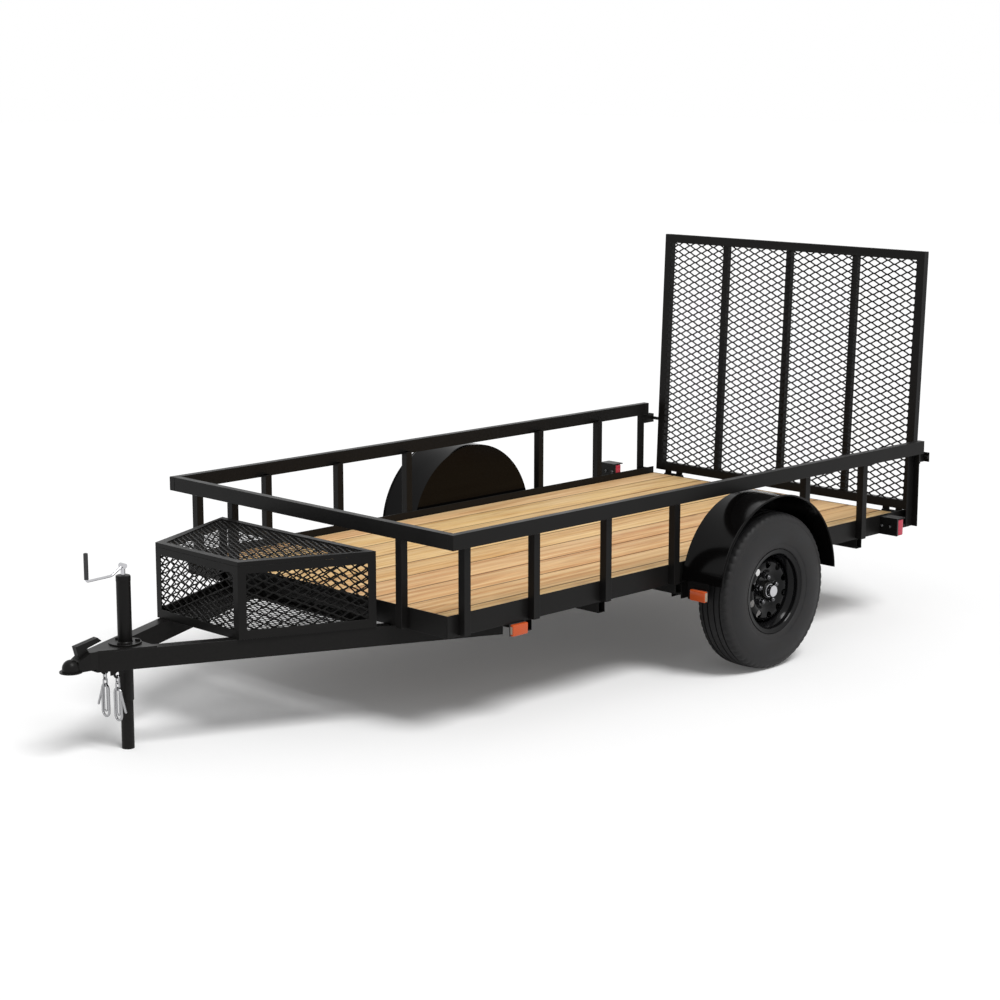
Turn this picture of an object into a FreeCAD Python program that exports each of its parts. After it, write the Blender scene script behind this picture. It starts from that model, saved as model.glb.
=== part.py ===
import FreeCAD, Part
import math
import os

from FreeCAD import Vector

# A single-axle utility trailer: a wooden deck in an angle-iron frame, tube side rails, a mesh loading
# gate at the rear, a mesh tool basket on the A-frame tongue, and a screw jack at the coupler.
# +X points forwards to the hitch, +Y to the trailer's left side, +Z up. While the pieces are made,
# X is measured from the rails' rear end; the last step moves them to the middle of the whole length.
# All lengths are in millimetres.

# Bed
rail_length = 3065.0
bed_half_width = 804.0
frame_setback = 35.0
frame_bottom_z = 405.0
frame_leg = 88.0
frame_flange = 52.0
frame_wall = 5.0
deck_top_z = 461.0
board_pitch = 186.0
board_shift = -11.0
board_gap = 2.0
board_seat_gap = 1.0

# Crossmembers under the frame
crossmember_share = [0.8482, 0.7069, 0.5479, 0.2987, 0.1254]
crossmember_width = 40.0
crossmember_drop = 46.0
crossmember_wall = 3.0

# Side rails, uprights and rear posts
rail_top_z = 822.0
rail_height = 60.0
rail_width = 34.0
rail_wall = 3.0
upright_size = 34.0
upright_wall = 3.0
upright_lift = 5.0
upright_top_gap = 6.0
side_upright_share = [0.9589, 0.8349, 0.6985, 0.5599, 0.2698, 0.1295]
front_upright_share = [-0.5995, 0.6841]
post_front_gap = 36.0
post_depth = 50.0
post_wall = 4.0
post_bottom_lift = 15.0
post_foot_height = 70.0
latch_bar_reach = 80.0
latch_bar_height = 44.0
latch_bar_wall = 6.0
latch_pin_radius = 8.0
latch_pin_gap = 5.5

# Tongue
tongue_half_angle = 24.0
tongue_reach = 1083.0
tongue_height = 78.0
tongue_width = 50.0
tongue_wall = 5.0
tongue_tip_cut = 60.0

# Wheels and running gear
axle_x = 1300.0
wheel_radius = 340.0
tyre_width = 180.0
wheel_offset = 141.0
rim_radius = 182.0
rim_seat_radius = 166.0
rim_width = 152.0
rim_wall = 4.0
rim_flange_wall = 7.0
rim_well_depth = 18.0
bead_width = 16.0
bead_rise = 3.0
disc_dish = 14.0
tyre_width_share = [0.80, 0.93, 1.0, 1.0, 0.95, 0.86, 0.72, 0.40]
tyre_height_share = [0.22, 0.34, 0.50, 0.62, 0.80, 0.92, 0.985, 1.0]
rim_disc_inset = 38.0
hub_bore_radius = 20.0
hub_radius = 38.0
hub_step = 1.0
hub_length = 84.0
hub_flange_radius = 72.0
hub_flange_thickness = 11.0
dust_cap_radius = 26.0
dust_cap_length = 30.0
lug_circle_radius = 57.15
lug_count = 5
lug_radius = 9.5
stud_radius = 6.5
lug_length = 24.0
vent_count = 10
vent_radius = 13.0
vent_circle_radius = 112.0
running_gap = 0.3
axle_tube_radius = 30.0
spindle_radius = 19.7
spring_inset = 36.0
spring_width = 45.0
spring_leaf = 7.0
spring_leaves = 4
spring_half_span = 320.0
spring_camber = 48.0
eye_radius = 14.0
eye_pin_radius = 7.0
hanger_wall = 6.0
hanger_length = 60.0
axle_pad_length = 130.0
axle_pad_thickness = 8.0
axle_bolt_radius = 6.0
axle_nut_radius = 10.0
axle_nut_height = 9.0

# Fenders
fender_radius = 387.0
fender_center_z = 368.0
fender_wall = 3.0
fender_width = 241.0
fender_lip = 9.0
fender_seam = 25.0
fender_rear_angle = 3.5
fender_front_angle = 8.0
fender_tab_inset = 79.0
fender_tab_width = 86.0
fender_tab_drop = 76.0

# Coupler
ball_radius = 25.4
ball_clearance = 0.4
ball_reach = 98.0
ball_z = 358.0
socket_wall = 7.0
coupler_wall = 5.0
coupler_rear_reach = 60.0
coupler_shoulder = 30.0
coupler_half = 34.0
coupler_neck_half = 27.0
coupler_neck_rise = 24.0
coupler_skirt = 16.0
coupler_lip = 10.0
latch_length = 132.0
latch_height = 98.0
latch_half_width = 13.0
latch_x_share = [-0.12, -0.87, -1.0, -0.48, -0.58, -0.58, -0.21, -0.21]
latch_z_share = [0.81, 1.0, 0.85, 0.66, 0.48, 0.15, 0.15, 0.38]

# Jack
jack_setback = 148.0
jack_radius = 27.5
jack_wall = 3.0
jack_top_z = 672.0
jack_bottom_z = 189.0
jack_leg_radius = 24.2
jack_leg_wall = 3.0
jack_leg_length = 470.0
jack_flange_radius = 62.5
jack_flange_thickness = 6.0
crank_shaft_radius = 9.0
crank_shaft_height = 36.0
crank_yoke_radius = 10.0
crank_yoke_length = 30.0
crank_arm_radius = 5.0
crank_bend_reach = 52.0
crank_bend_rise = 5.0
crank_reach = 164.0
crank_rise = 1.0
crank_grip_gap = 7.0
crank_grip_radius = 8.6
crank_grip_length = 101.0

# Basket on the tongue
basket_gap = 30.0
basket_length = 505.0
basket_front_half = 257.0
basket_rear_half = 475.0
basket_top_z = 690.0
basket_bar = 30.0
basket_bar_wall = 4.0
lid_gap = 0.4
lid_height = 17.0
lid_hinge_radius = 8.0
lid_hinge_length = 120.0
lid_hinge_place = 281.0
lid_hinge_leaf = 3.0
lid_hinge_drop = 34.0

# Expanded metal
mesh_thickness = 3.0
mesh_strand = 5.2
mesh_rim = 5.0
gate_mesh_long = 76.0
gate_mesh_short = 33.3
basket_mesh_long = 50.8
basket_mesh_short = 23.4

# Loading gate
gate_side_gap = 11.0
gate_height = 1220.0
gate_bottom_z = 478.0
gate_front_gap = 10.0
gate_depth = 35.0
gate_bar = 42.0
gate_inner_bar = 30.0
gate_inner_share = [-0.5, 0.0, 0.5]
gate_lean = 2.33
hinge_z = 450.0
hinge_radius = 15.0
hinge_pin_radius = 8.0
hinge_leaf_half = 55.0
hinge_inset = 119.0
hinge_knuckle_gap = 1.0
hinge_leaf_wall = 8.0

# Lamps
marker_length = 88.0
marker_height = 50.0
marker_depth = 22.0
marker_setback = 455.0
tail_plate_x = 235.0
tail_plate_wall = 5.0
tail_plate_width = 96.0
tail_plate_height = 82.0
tail_right_ahead = 62.0
tail_right_rise = 52.0
tail_cover_length = 60.0
tail_lamp_depth = 48.0
tail_stud_radius = 4.0
tail_stud_inset = 12.0
tail_stud_spacing = 45.0
tail_stud_rise = 41.0
tail_stud_length = 12.0
lamp_inset = 2.0

# Safety chains
chain_setback = 80.0
chain_y = 40.0
tab_length = 60.0
tab_drop = 34.0
tab_wall = 6.0
tab_hole_radius = 9.0
tab_hole_rise = 16.0
chain_wire = 3.2
chain_link_length = 38.0
chain_link_width = 22.0
chain_links = 2
chain_seat_gap = 0.95
hook_wire = 4.5
hook_length = 134.0
hook_width = 42.0
hook_gate_length = 74.0
hook_gate_angle = 22.0

# Worked out from the sizes above
overrun = 10.0
frame_front_x = rail_length - frame_setback
tongue_apex_x = rail_length + tongue_reach
tongue_tip_x = tongue_apex_x - tongue_tip_cut
ball_x = tongue_tip_x + ball_reach
coupler_shoulder_x = tongue_tip_x + coupler_shoulder
jack_x = tongue_tip_x - jack_setback
coupler_rear_x = jack_x - coupler_rear_reach
chain_x = tongue_tip_x - chain_setback
basket_rear_x = rail_length + basket_gap
basket_front_x = basket_rear_x + basket_length
marker_x = rail_length - marker_setback
track_half = bed_half_width + wheel_offset
spring_y = bed_half_width - spring_inset
gate_half_width = bed_half_width - gate_side_gap
hinge_place = bed_half_width - hinge_inset
rail_half_width = bed_half_width + upright_size + rail_width
frame_top_z = frame_bottom_z + frame_leg
rail_bottom_z = rail_top_z - rail_height
tongue_bottom_z = frame_bottom_z - tongue_height
socket_radius = ball_radius + ball_clearance + socket_wall
tongue_slope = math.tan(math.radians(tongue_half_angle))
fender_front_rad = math.radians(fender_front_angle)
fender_front_x = axle_x + fender_radius * math.cos(fender_front_rad)
fender_front_z = fender_center_z + fender_radius * math.sin(fender_front_rad)
gate_lean_rad = math.radians(gate_lean)
hinge_x = -gate_front_gap - gate_depth / 2
spring_arc_radius = (spring_half_span ** 2 + spring_camber ** 2) / (2 * spring_camber)
crossmember_places = [share * frame_front_x for share in crossmember_share]

ORIGIN = Vector(0, 0, 0)
FORWARD = Vector(1, 0, 0)
LEFT = Vector(0, 1, 0)
UP = Vector(0, 0, 1)


def box(x0, x1, y0, y1, z0, z1):
    """A box between two corners."""
    return Part.makeBox(x1 - x0, y1 - y0, z1 - z0, Vector(x0, y0, z0))


def rod(radius, start, direction, length):
    """A round bar from a point along a direction."""
    return Part.makeCylinder(radius, length, start, direction)


def square_tube_z(x0, x1, y0, y1, z0, z1, wall):
    """An upright rectangular tube."""
    outer = box(x0, x1, y0, y1, z0, z1)
    return outer.cut(box(x0 + wall, x1 - wall, y0 + wall, y1 - wall, z0 - overrun, z1 + overrun))


def square_tube_x(x0, x1, y0, y1, z0, z1, wall):
    """A rectangular tube that runs lengthwise."""
    outer = box(x0, x1, y0, y1, z0, z1)
    return outer.cut(box(x0 - overrun, x1 + overrun, y0 + wall, y1 - wall, z0 + wall, z1 - wall))


def square_tube_y(x0, x1, y0, y1, z0, z1, wall):
    """A rectangular tube that runs across."""
    outer = box(x0, x1, y0, y1, z0, z1)
    return outer.cut(box(x0 + wall, x1 - wall, y0 - overrun, y1 + overrun, z0 + wall, z1 - wall))


def mirrored(shape):
    """The same shape on the other side of the trailer."""
    return shape.mirror(ORIGIN, LEFT)


def prism(points, height, direction):
    """A closed outline pushed along a direction."""
    wire = Part.makePolygon(points + [points[0]])
    return Part.Face(wire).extrude(direction * height)


def side_frame():
    """Left side angle: an upright leg outside and a flange under the boards."""
    leg = box(0, frame_front_x, bed_half_width - frame_wall, bed_half_width, frame_bottom_z, frame_top_z)
    flange = box(frame_wall, frame_front_x - frame_wall, bed_half_width - frame_flange, bed_half_width,
                 frame_bottom_z, frame_bottom_z + frame_wall)
    return leg.fuse(flange).removeSplitter()


def front_frame():
    """Front angle between the side angles."""
    half = bed_half_width - frame_wall
    leg = box(frame_front_x - frame_wall, frame_front_x, -half, half, frame_bottom_z, frame_top_z)
    inner = bed_half_width - frame_flange
    flange = box(frame_front_x - frame_flange, frame_front_x, -inner, inner,
                 frame_bottom_z, frame_bottom_z + frame_wall)
    return leg.fuse(flange).removeSplitter()


def rear_frame():
    """Rear angle, with its leg no higher than the deck so that wheels roll over it."""
    half = bed_half_width - frame_wall
    leg = box(0, frame_wall, -half, half, frame_bottom_z, deck_top_z)
    inner = bed_half_width - frame_flange
    flange = box(0, frame_flange, -inner, inner, frame_bottom_z, frame_bottom_z + frame_wall)
    return leg.fuse(flange).removeSplitter()


def crossmembers():
    """Open-ended tubes under the frame, notched at their ends under the side flanges."""
    bars = []
    for place in crossmember_places:
        x1 = place + crossmember_width
        low = frame_bottom_z - crossmember_drop
        inner = bed_half_width - frame_flange
        bar = box(place, x1, -bed_half_width, bed_half_width, low, frame_bottom_z)
        bar = bar.fuse(box(place, x1, -inner, inner, frame_bottom_z, frame_bottom_z + frame_wall))
        inside = box(place + crossmember_wall, x1 - crossmember_wall, -bed_half_width - overrun,
                     bed_half_width + overrun, low + crossmember_wall, frame_bottom_z - crossmember_wall)
        bars.append(bar.removeSplitter().cut(inside))
    return Part.makeCompound(bars)


def deck_boards():
    """Boards that run lengthwise, as many as the bed holds, the outer two ripped to fit."""
    boards = []
    edge = bed_half_width - frame_wall - board_seat_gap
    count = max(2, round(2 * edge / board_pitch))
    seams = [edge]
    for index in range(count - 1):
        seams.append(board_shift + ((count - 2) / 2 - index) * board_pitch)
    seams.append(-edge)
    x0 = frame_wall + board_seat_gap
    x1 = frame_front_x - frame_wall - board_seat_gap
    for left, right in zip(seams[:-1], seams[1:]):
        boards.append(box(x0, x1, right + board_gap / 2, left - board_gap / 2,
                          frame_bottom_z + frame_wall, deck_top_z))
    return Part.makeCompound(boards)


def side_rail():
    """Left top rail, welded to the uprights' outer faces."""
    return square_tube_x(0, rail_length, rail_half_width - rail_width, rail_half_width,
                         rail_bottom_z, rail_top_z, rail_wall)


def front_rail():
    """Top rail across the front, between the side rails."""
    half = rail_half_width - rail_width
    return square_tube_y(rail_length - rail_width, rail_length, -half, half,
                         rail_bottom_z, rail_top_z, rail_wall)


def side_uprights():
    """Square tubes between the left side angle and the left rail."""
    tubes = []
    for share in side_upright_share:
        place = share * rail_length
        tubes.append(square_tube_z(place, place + upright_size, bed_half_width, bed_half_width + upright_size,
                                   frame_bottom_z + upright_lift, rail_top_z - upright_top_gap, upright_wall))
    return Part.makeCompound(tubes)


def front_uprights():
    """Square tubes on the front angle, under the front rail."""
    tubes = []
    for share in front_upright_share:
        place = share * bed_half_width
        tubes.append(square_tube_z(frame_front_x, frame_front_x + upright_size, place, place + upright_size,
                                   frame_bottom_z + upright_lift, rail_bottom_z, upright_wall))
    return Part.makeCompound(tubes)


def rear_post():
    """Left rear post: an angle open to the front and outside, with a foot welded to the side angle."""
    low = frame_bottom_z + post_bottom_lift
    x0 = post_front_gap
    inner = rail_half_width - rail_width
    back = box(x0, x0 + post_wall, inner, rail_half_width, low, rail_bottom_z)
    leg = box(x0, x0 + post_depth, inner, inner + post_wall, low, rail_bottom_z)
    foot = box(x0, x0 + post_wall, bed_half_width, rail_half_width, low, low + post_foot_height)
    return back.fuse([leg, foot]).removeSplitter()


def gate_latch():
    """Left latch bar on the post, with its spring pin drawn back from the gate."""
    top = rail_bottom_z
    outer = rail_half_width - rail_width + post_wall
    x0 = post_front_gap - latch_bar_reach
    bar = box(x0, post_front_gap, outer, outer + latch_bar_wall, top - latch_bar_height, top)
    pin_y = gate_half_width + latch_pin_gap
    pin = rod(latch_pin_radius, Vector(hinge_x - latch_pin_radius, pin_y, top - latch_bar_height / 2),
              LEFT, rail_half_width - pin_y)
    seat = box(x0, x0 + latch_bar_wall, outer, rail_half_width, top - latch_bar_height, top)
    tail = box(post_front_gap - latch_bar_wall, post_front_gap, outer, rail_half_width,
               top - latch_bar_height, top)
    return bar.fuse([pin, seat, tail]).removeSplitter()


def tongue_outline(x0, x1, inset, z):
    """A left tongue member's footprint between two places, moved in by a wall on both sides."""
    cosine = math.cos(math.radians(tongue_half_angle))
    corners = []
    for x, depth in ((x0, inset), (x1, inset), (x1, tongue_width - inset), (x0, tongue_width - inset)):
        corners.append(Vector(x, (tongue_apex_x - x) * tongue_slope - depth / cosine, z))
    return corners


def tongue_member():
    """Left leg of the A-frame: an open-ended tube from the first crossmember to the coupler."""
    rear_x = crossmember_places[0] + crossmember_width
    tube = prism(tongue_outline(rear_x, tongue_tip_x, 0.0, tongue_bottom_z), tongue_height, UP)
    inside = prism(tongue_outline(rear_x - overrun, tongue_tip_x + overrun, tongue_wall,
                                  tongue_bottom_z + tongue_wall), tongue_height - 2 * tongue_wall, UP)
    other_side = box(rear_x - overrun, tongue_apex_x + overrun, -bed_half_width, 0,
                     tongue_bottom_z - overrun, frame_bottom_z + overrun)
    return tube.cut([inside, other_side])


def fender():
    """Left fender: a rolled sheet with a back panel, a rolled outer edge and a lamp tab at its front foot."""
    center = Vector(axle_x, bed_half_width, fender_center_z)
    sweep = 180.0 - fender_rear_angle - fender_front_angle
    outer = Part.makeCylinder(fender_radius, fender_width, center, LEFT, sweep)
    inner = Part.makeCylinder(fender_radius - fender_wall, fender_width - fender_wall,
                              center + LEFT * fender_wall, LEFT, sweep)
    shell = outer.cut(inner)
    lip = Part.makeCylinder(fender_radius + fender_lip, fender_lip,
                            center + LEFT * (fender_width - fender_lip), LEFT, sweep)
    lip = lip.cut(Part.makeCylinder(fender_radius - fender_wall, fender_width, center, LEFT, sweep))
    shell = shell.fuse(lip)
    shell.rotate(center, LEFT, fender_rear_angle - 90.0)
    reach = fender_radius + overrun
    below = box(axle_x - reach, axle_x + reach, bed_half_width - overrun, bed_half_width + fender_wall,
                fender_center_z - reach, frame_top_z - fender_seam)
    y0 = bed_half_width + fender_tab_inset
    tab = box(fender_front_x - fender_wall, fender_front_x, y0, y0 + fender_tab_width,
              fender_front_z - fender_tab_drop, fender_front_z + fender_wall)
    return shell.cut(below).fuse(tab)


def axle():
    """Straight tube axle with turned spindles."""
    tube_half = track_half - hub_length / 2 - overrun
    center = Vector(axle_x, -tube_half, wheel_radius)
    beam = rod(axle_tube_radius, center, LEFT, 2 * tube_half)
    spindle_half = track_half + hub_length / 2
    spindle = rod(spindle_radius, Vector(axle_x, -spindle_half, wheel_radius), LEFT, 2 * spindle_half)
    return beam.fuse(spindle)


def leaf_spring():
    """Left spring: a pack of leaves, longest on top, with rolled eyes on the main leaf."""
    top_z = wheel_radius - axle_tube_radius - axle_pad_thickness
    rise = spring_camber
    half = spring_half_span
    arc_radius = spring_arc_radius
    center = Vector(axle_x, spring_y - spring_width / 2, top_z + arc_radius)
    pack = None
    for index in range(spring_leaves):
        outer = arc_radius + (index + 1) * spring_leaf
        share = 1 - index / (spring_leaves + 1)
        reach = math.degrees(math.asin(half * share / arc_radius))
        ring = Part.makeCylinder(outer, spring_width, center, LEFT, 2 * reach)
        ring = ring.cut(Part.makeCylinder(outer - spring_leaf, spring_width, center, LEFT, 2 * reach))
        ring.rotate(center, LEFT, 180.0 - reach)
        pack = ring if pack is None else pack.fuse(ring)
    for side in (-1, 1):
        eye = rod(eye_radius, Vector(axle_x + side * half, spring_y - spring_width / 2, top_z + rise),
                  LEFT, spring_width)
        pack = pack.fuse(eye)
    for side in (-1, 1):
        hole = rod(eye_pin_radius, Vector(axle_x + side * half, spring_y - spring_width, top_z + rise),
                   LEFT, 2 * spring_width)
        pack = pack.cut(hole)
    return pack.removeSplitter()


def spring_hanger(side):
    """A folded hanger under the left side angle, with the eye's pin."""
    top_z = wheel_radius - axle_tube_radius - axle_pad_thickness + spring_camber
    x = axle_x + side * spring_half_span
    half = spring_width / 2 + running_gap
    low = top_z - eye_radius - hanger_wall
    plates = []
    for y0 in (spring_y - half - hanger_wall, spring_y + half):
        plates.append(box(x - hanger_length / 2, x + hanger_length / 2, y0, y0 + hanger_wall,
                          low, frame_bottom_z))
    pin_start = Vector(x, spring_y - half - hanger_wall, top_z)
    pin = rod(eye_pin_radius - running_gap, pin_start, LEFT, 2 * half + 2 * hanger_wall)
    cap = box(x - hanger_length / 2, x + hanger_length / 2, spring_y - half - hanger_wall,
              spring_y + half + hanger_wall, frame_bottom_z - hanger_wall, frame_bottom_z)
    return plates[0].fuse([plates[1], pin, cap])


def axle_bolt(y, low):
    """A bent bolt over the axle with a nut on each end."""
    reach = axle_tube_radius + axle_bolt_radius + running_gap
    center = Vector(axle_x, y, wheel_radius)
    bend = Part.makeTorus(reach, axle_bolt_radius, center, LEFT)
    bend = bend.common(box(axle_x - 2 * reach, axle_x + 2 * reach, y - reach, y + reach,
                           wheel_radius, wheel_radius + 2 * reach))
    bolt = [bend]
    for side in (-1, 1):
        foot = Vector(axle_x + side * reach, y, low - 2 * axle_nut_height)
        bolt.append(rod(axle_bolt_radius, foot, UP, wheel_radius - foot.z))
        bolt.append(rod(axle_nut_radius, foot + UP * axle_nut_height, UP, axle_nut_height))
    return bolt[0].fuse(bolt[1:])


def axle_pad():
    """Left axle seat and the tie plate under the spring, held by two bent bolts."""
    z = wheel_radius - axle_tube_radius
    half = axle_pad_length / 2
    seat = box(axle_x - half, axle_x + half, spring_y - spring_width / 2, spring_y + spring_width / 2,
               z - axle_pad_thickness, z + axle_pad_thickness)
    seat = seat.cut(rod(axle_tube_radius, Vector(axle_x, 0, wheel_radius), LEFT, rail_half_width))
    arc_center = Vector(axle_x, spring_y - spring_width, z - axle_pad_thickness + spring_arc_radius)
    seat = seat.common(rod(spring_arc_radius, arc_center, LEFT, 2 * spring_width))
    pack_low = z - axle_pad_thickness - spring_leaf * spring_leaves
    tie = box(axle_x - half, axle_x + half, spring_y - spring_width, spring_y + spring_width,
              pack_low - axle_pad_thickness, pack_low)
    bolt_place = spring_width / 2 + axle_bolt_radius + running_gap
    bolts = [axle_bolt(spring_y + side * bolt_place, pack_low - axle_pad_thickness) for side in (-1, 1)]
    return Part.makeCompound([seat, tie.fuse(bolts)])


def tyre():
    """Left tyre: beads on the rim's seats, bulged sidewalls and a rounded shoulder."""
    half = tyre_width / 2
    seat = rim_width / 2 - rim_flange_wall - running_gap
    bead = rim_seat_radius + running_gap
    outer = [Vector(0, y_share * half, bead + r_share * (wheel_radius - bead))
             for y_share, r_share in zip(tyre_width_share, tyre_height_share)]
    side = [Vector(0, seat - bead_width, bead), Vector(0, seat, bead),
            Vector(0, seat, rim_radius + bead_rise)] + outer
    other = [Vector(0, -point.y, point.z) for point in reversed(side)]
    points = side + other
    body = Part.Face(Part.makePolygon(points + [points[0]])).revolve(ORIGIN, LEFT, 360)
    body.translate(Vector(axle_x, track_half, wheel_radius))
    return body


def rim():
    """Left steel wheel: a rolled rim with a pressed disc, round vents and lug holes."""
    half = rim_width / 2
    seat = half - rim_flange_wall
    well = rim_seat_radius - rim_well_depth
    side = [
        (half, rim_radius), (seat, rim_radius), (seat, rim_seat_radius),
        (seat - bead_width, rim_seat_radius), (seat - bead_width - rim_well_depth, well),
    ]
    barrel = side + [(-y, r) for y, r in reversed(side)]
    outline = [Vector(0, y, r) for y, r in barrel]
    outline += [Vector(0, y, r - rim_wall) for y, r in reversed(rim_inner_line(half, seat, well))]
    shell = Part.Face(Part.makePolygon(outline + [outline[0]])).revolve(ORIGIN, LEFT, 360)
    disc_y = half - rim_disc_inset
    face = [
        (-rim_well_depth, well - rim_wall), (disc_y, vent_circle_radius + vent_radius + rim_wall),
        (disc_y + rim_wall, vent_circle_radius - vent_radius - rim_wall),
        (disc_y - disc_dish / 2, hub_flange_radius + rim_wall),
        (disc_y - disc_dish, hub_flange_radius - rim_wall / 2), (disc_y - disc_dish, hub_radius + rim_wall),
    ]
    plate = [Vector(0, y, r) for y, r in face]
    plate += [Vector(0, y - rim_wall, r) for y, r in reversed(face)]
    disc = Part.Face(Part.makePolygon(plate + [plate[0]])).revolve(ORIGIN, LEFT, 360)
    holes = [(vent_count, vent_circle_radius, vent_radius),
             (lug_count, lug_circle_radius, stud_radius + running_gap)]
    for count, circle, radius in holes:
        for index in range(count):
            angle = 2 * math.pi * index / count
            start = Vector(circle * math.sin(angle), -rim_width, circle * math.cos(angle))
            disc = disc.cut(rod(radius, start, LEFT, 2 * rim_width))
    wheel = shell.fuse(disc)
    wheel.translate(Vector(axle_x, track_half, wheel_radius))
    return wheel


def rim_inner_line(half, seat, well):
    """The barrel's inside, one wall in from its outside."""
    side = [(half, rim_radius), (seat, rim_seat_radius),
            (seat - bead_width - rim_wall / 2, rim_seat_radius),
            (seat - bead_width - rim_well_depth - rim_wall / 2, well)]
    return side + [(-y, r) for y, r in reversed(side)]


def hub():
    """Left hub with its flange, lug nuts and dust cap."""
    half = hub_length / 2
    seat_y = rim_width / 2 - rim_disc_inset - disc_dish - rim_wall
    body = rod(hub_radius, Vector(0, -half, 0), LEFT, half + seat_y)
    body = body.fuse(rod(hub_radius - hub_step, ORIGIN, LEFT, half))
    flange = rod(hub_flange_radius, Vector(0, seat_y - hub_flange_thickness, 0), LEFT, hub_flange_thickness)
    cap = rod(dust_cap_radius, Vector(0, half, 0), LEFT, dust_cap_length)
    body = body.fuse([flange, cap])
    for index in range(lug_count):
        angle = 2 * math.pi * index / lug_count
        start = Vector(lug_circle_radius * math.sin(angle), seat_y + rim_wall,
                       lug_circle_radius * math.cos(angle))
        body = body.fuse(rod(lug_radius, start, LEFT, lug_length))
        stud = start - LEFT * (rim_wall + hub_flange_thickness)
        body = body.fuse(rod(stud_radius, stud, LEFT, lug_length))
    bore = rod(hub_bore_radius, Vector(0, -half - overrun, 0), LEFT, hub_length + overrun + running_gap)
    body = body.cut(bore)
    body.translate(Vector(axle_x, track_half, wheel_radius))
    return body


def cross_section(x, half, low, high):
    """A closed rectangle across the trailer at a place along it."""
    points = [Vector(x, -half, low), Vector(x, half, low), Vector(x, half, high), Vector(x, -half, high)]
    return Part.makePolygon(points + [points[0]])


def coupler():
    """Pressed coupler: a plate over both tongue members, a shoulder, and a ball socket with a flared lip."""
    top = frame_bottom_z + coupler_wall
    rear_half = (tongue_apex_x - coupler_rear_x) * tongue_slope
    front_half = (tongue_apex_x - tongue_tip_x) * tongue_slope
    outline = [
        Vector(coupler_rear_x, rear_half, frame_bottom_z), Vector(coupler_rear_x, -rear_half, frame_bottom_z),
        Vector(tongue_tip_x, -front_half, frame_bottom_z), Vector(tongue_tip_x, front_half, frame_bottom_z),
    ]
    plate = prism(outline, coupler_wall, UP)
    plate = plate.cut(rod(jack_radius + running_gap, Vector(jack_x, 0, tongue_bottom_z), UP,
                          tongue_height * 2))
    low = ball_z - coupler_skirt
    block = box(tongue_tip_x, coupler_shoulder_x, -coupler_half, coupler_half, low, top)
    neck = Part.makeLoft([
        cross_section(coupler_shoulder_x, coupler_half, low, top),
        cross_section(ball_x - socket_radius / 2, coupler_neck_half, low, ball_z + coupler_neck_rise),
    ], True, True)
    neck = neck.fuse(box(ball_x - socket_radius / 2, ball_x, -coupler_neck_half, coupler_neck_half,
                         low, ball_z))
    dome = Part.makeSphere(socket_radius, Vector(ball_x, 0, ball_z))
    dome = dome.common(box(ball_x - socket_radius, ball_x + socket_radius, -socket_radius, socket_radius,
                           ball_z, ball_z + socket_radius))
    skirt = rod(socket_radius, Vector(ball_x, 0, low), UP, coupler_skirt)
    lip = rod(socket_radius + coupler_lip, Vector(ball_x, 0, low), UP, coupler_wall)
    body = plate.fuse([block, neck, dome, skirt, lip])
    bore = rod(ball_radius + ball_clearance, Vector(ball_x, 0, low - overrun), UP, coupler_skirt + overrun)
    hollow = Part.makeSphere(ball_radius + ball_clearance, Vector(ball_x, 0, ball_z))
    return body.cut(bore.fuse(hollow)).removeSplitter()


def coupler_latch():
    """Lever latch seated on the coupler's neck, its handle to the rear."""
    points = []
    for x_share, z_share in zip(latch_x_share, latch_z_share):
        points.append(Vector(ball_x + x_share * latch_length, -latch_half_width,
                             ball_z + z_share * latch_height))
    return prism(points, 2 * latch_half_width, LEFT).cut(coupler())


def jack_tube():
    """Outer jack tube clamped by its flange on the coupler plate."""
    tube = rod(jack_radius, Vector(jack_x, 0, jack_bottom_z), UP, jack_top_z - jack_bottom_z)
    bore = rod(jack_radius - jack_wall, Vector(jack_x, 0, jack_bottom_z - overrun), UP,
               jack_top_z - jack_bottom_z + overrun - jack_wall)
    flange = rod(jack_flange_radius, Vector(jack_x, 0, frame_bottom_z + coupler_wall), UP,
                 jack_flange_thickness)
    return tube.fuse(flange).cut(bore)


def jack_leg():
    """Inner jack tube that stands on the floor."""
    leg = rod(jack_leg_radius, Vector(jack_x, 0, 0), UP, jack_leg_length)
    bore = rod(jack_leg_radius - jack_leg_wall, Vector(jack_x, 0, jack_leg_wall), UP, jack_leg_length)
    return leg.cut(bore)


def jack_crank():
    """Crank bent down from its yoke and then outwards, with an upright grip."""
    hub_z = jack_top_z + crank_shaft_height
    path = [
        Vector(jack_x, 0, hub_z),
        Vector(jack_x + crank_bend_reach, 0, jack_top_z + crank_bend_rise),
        Vector(jack_x + crank_reach, 0, jack_top_z + crank_rise),
    ]
    grip_start = path[-1] + UP * crank_grip_gap
    pieces = [rod(crank_yoke_radius, Vector(jack_x, -crank_yoke_length / 2, hub_z), LEFT, crank_yoke_length),
              rod(crank_arm_radius, path[-1], UP, crank_grip_gap + crank_grip_length / 2),
              rod(crank_grip_radius, grip_start, UP, crank_grip_length)]
    for start, end in zip(path[:-1], path[1:]):
        pieces.append(rod(crank_arm_radius, start, end - start, (end - start).Length))
        pieces.append(Part.makeSphere(crank_arm_radius, end))
    shaft = rod(crank_shaft_radius, Vector(jack_x, 0, jack_top_z), UP, crank_shaft_height)
    return shaft.fuse(pieces)


def basket_outline(z, inset):
    """The basket's four corners at a height, moved inwards by a wall."""
    x0 = basket_rear_x + inset
    x1 = basket_front_x - inset
    y0 = basket_rear_half - inset
    y1 = basket_front_half - inset
    return [Vector(x0, y0, z), Vector(x0, -y0, z), Vector(x1, -y1, z), Vector(x1, y1, z)]


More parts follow.
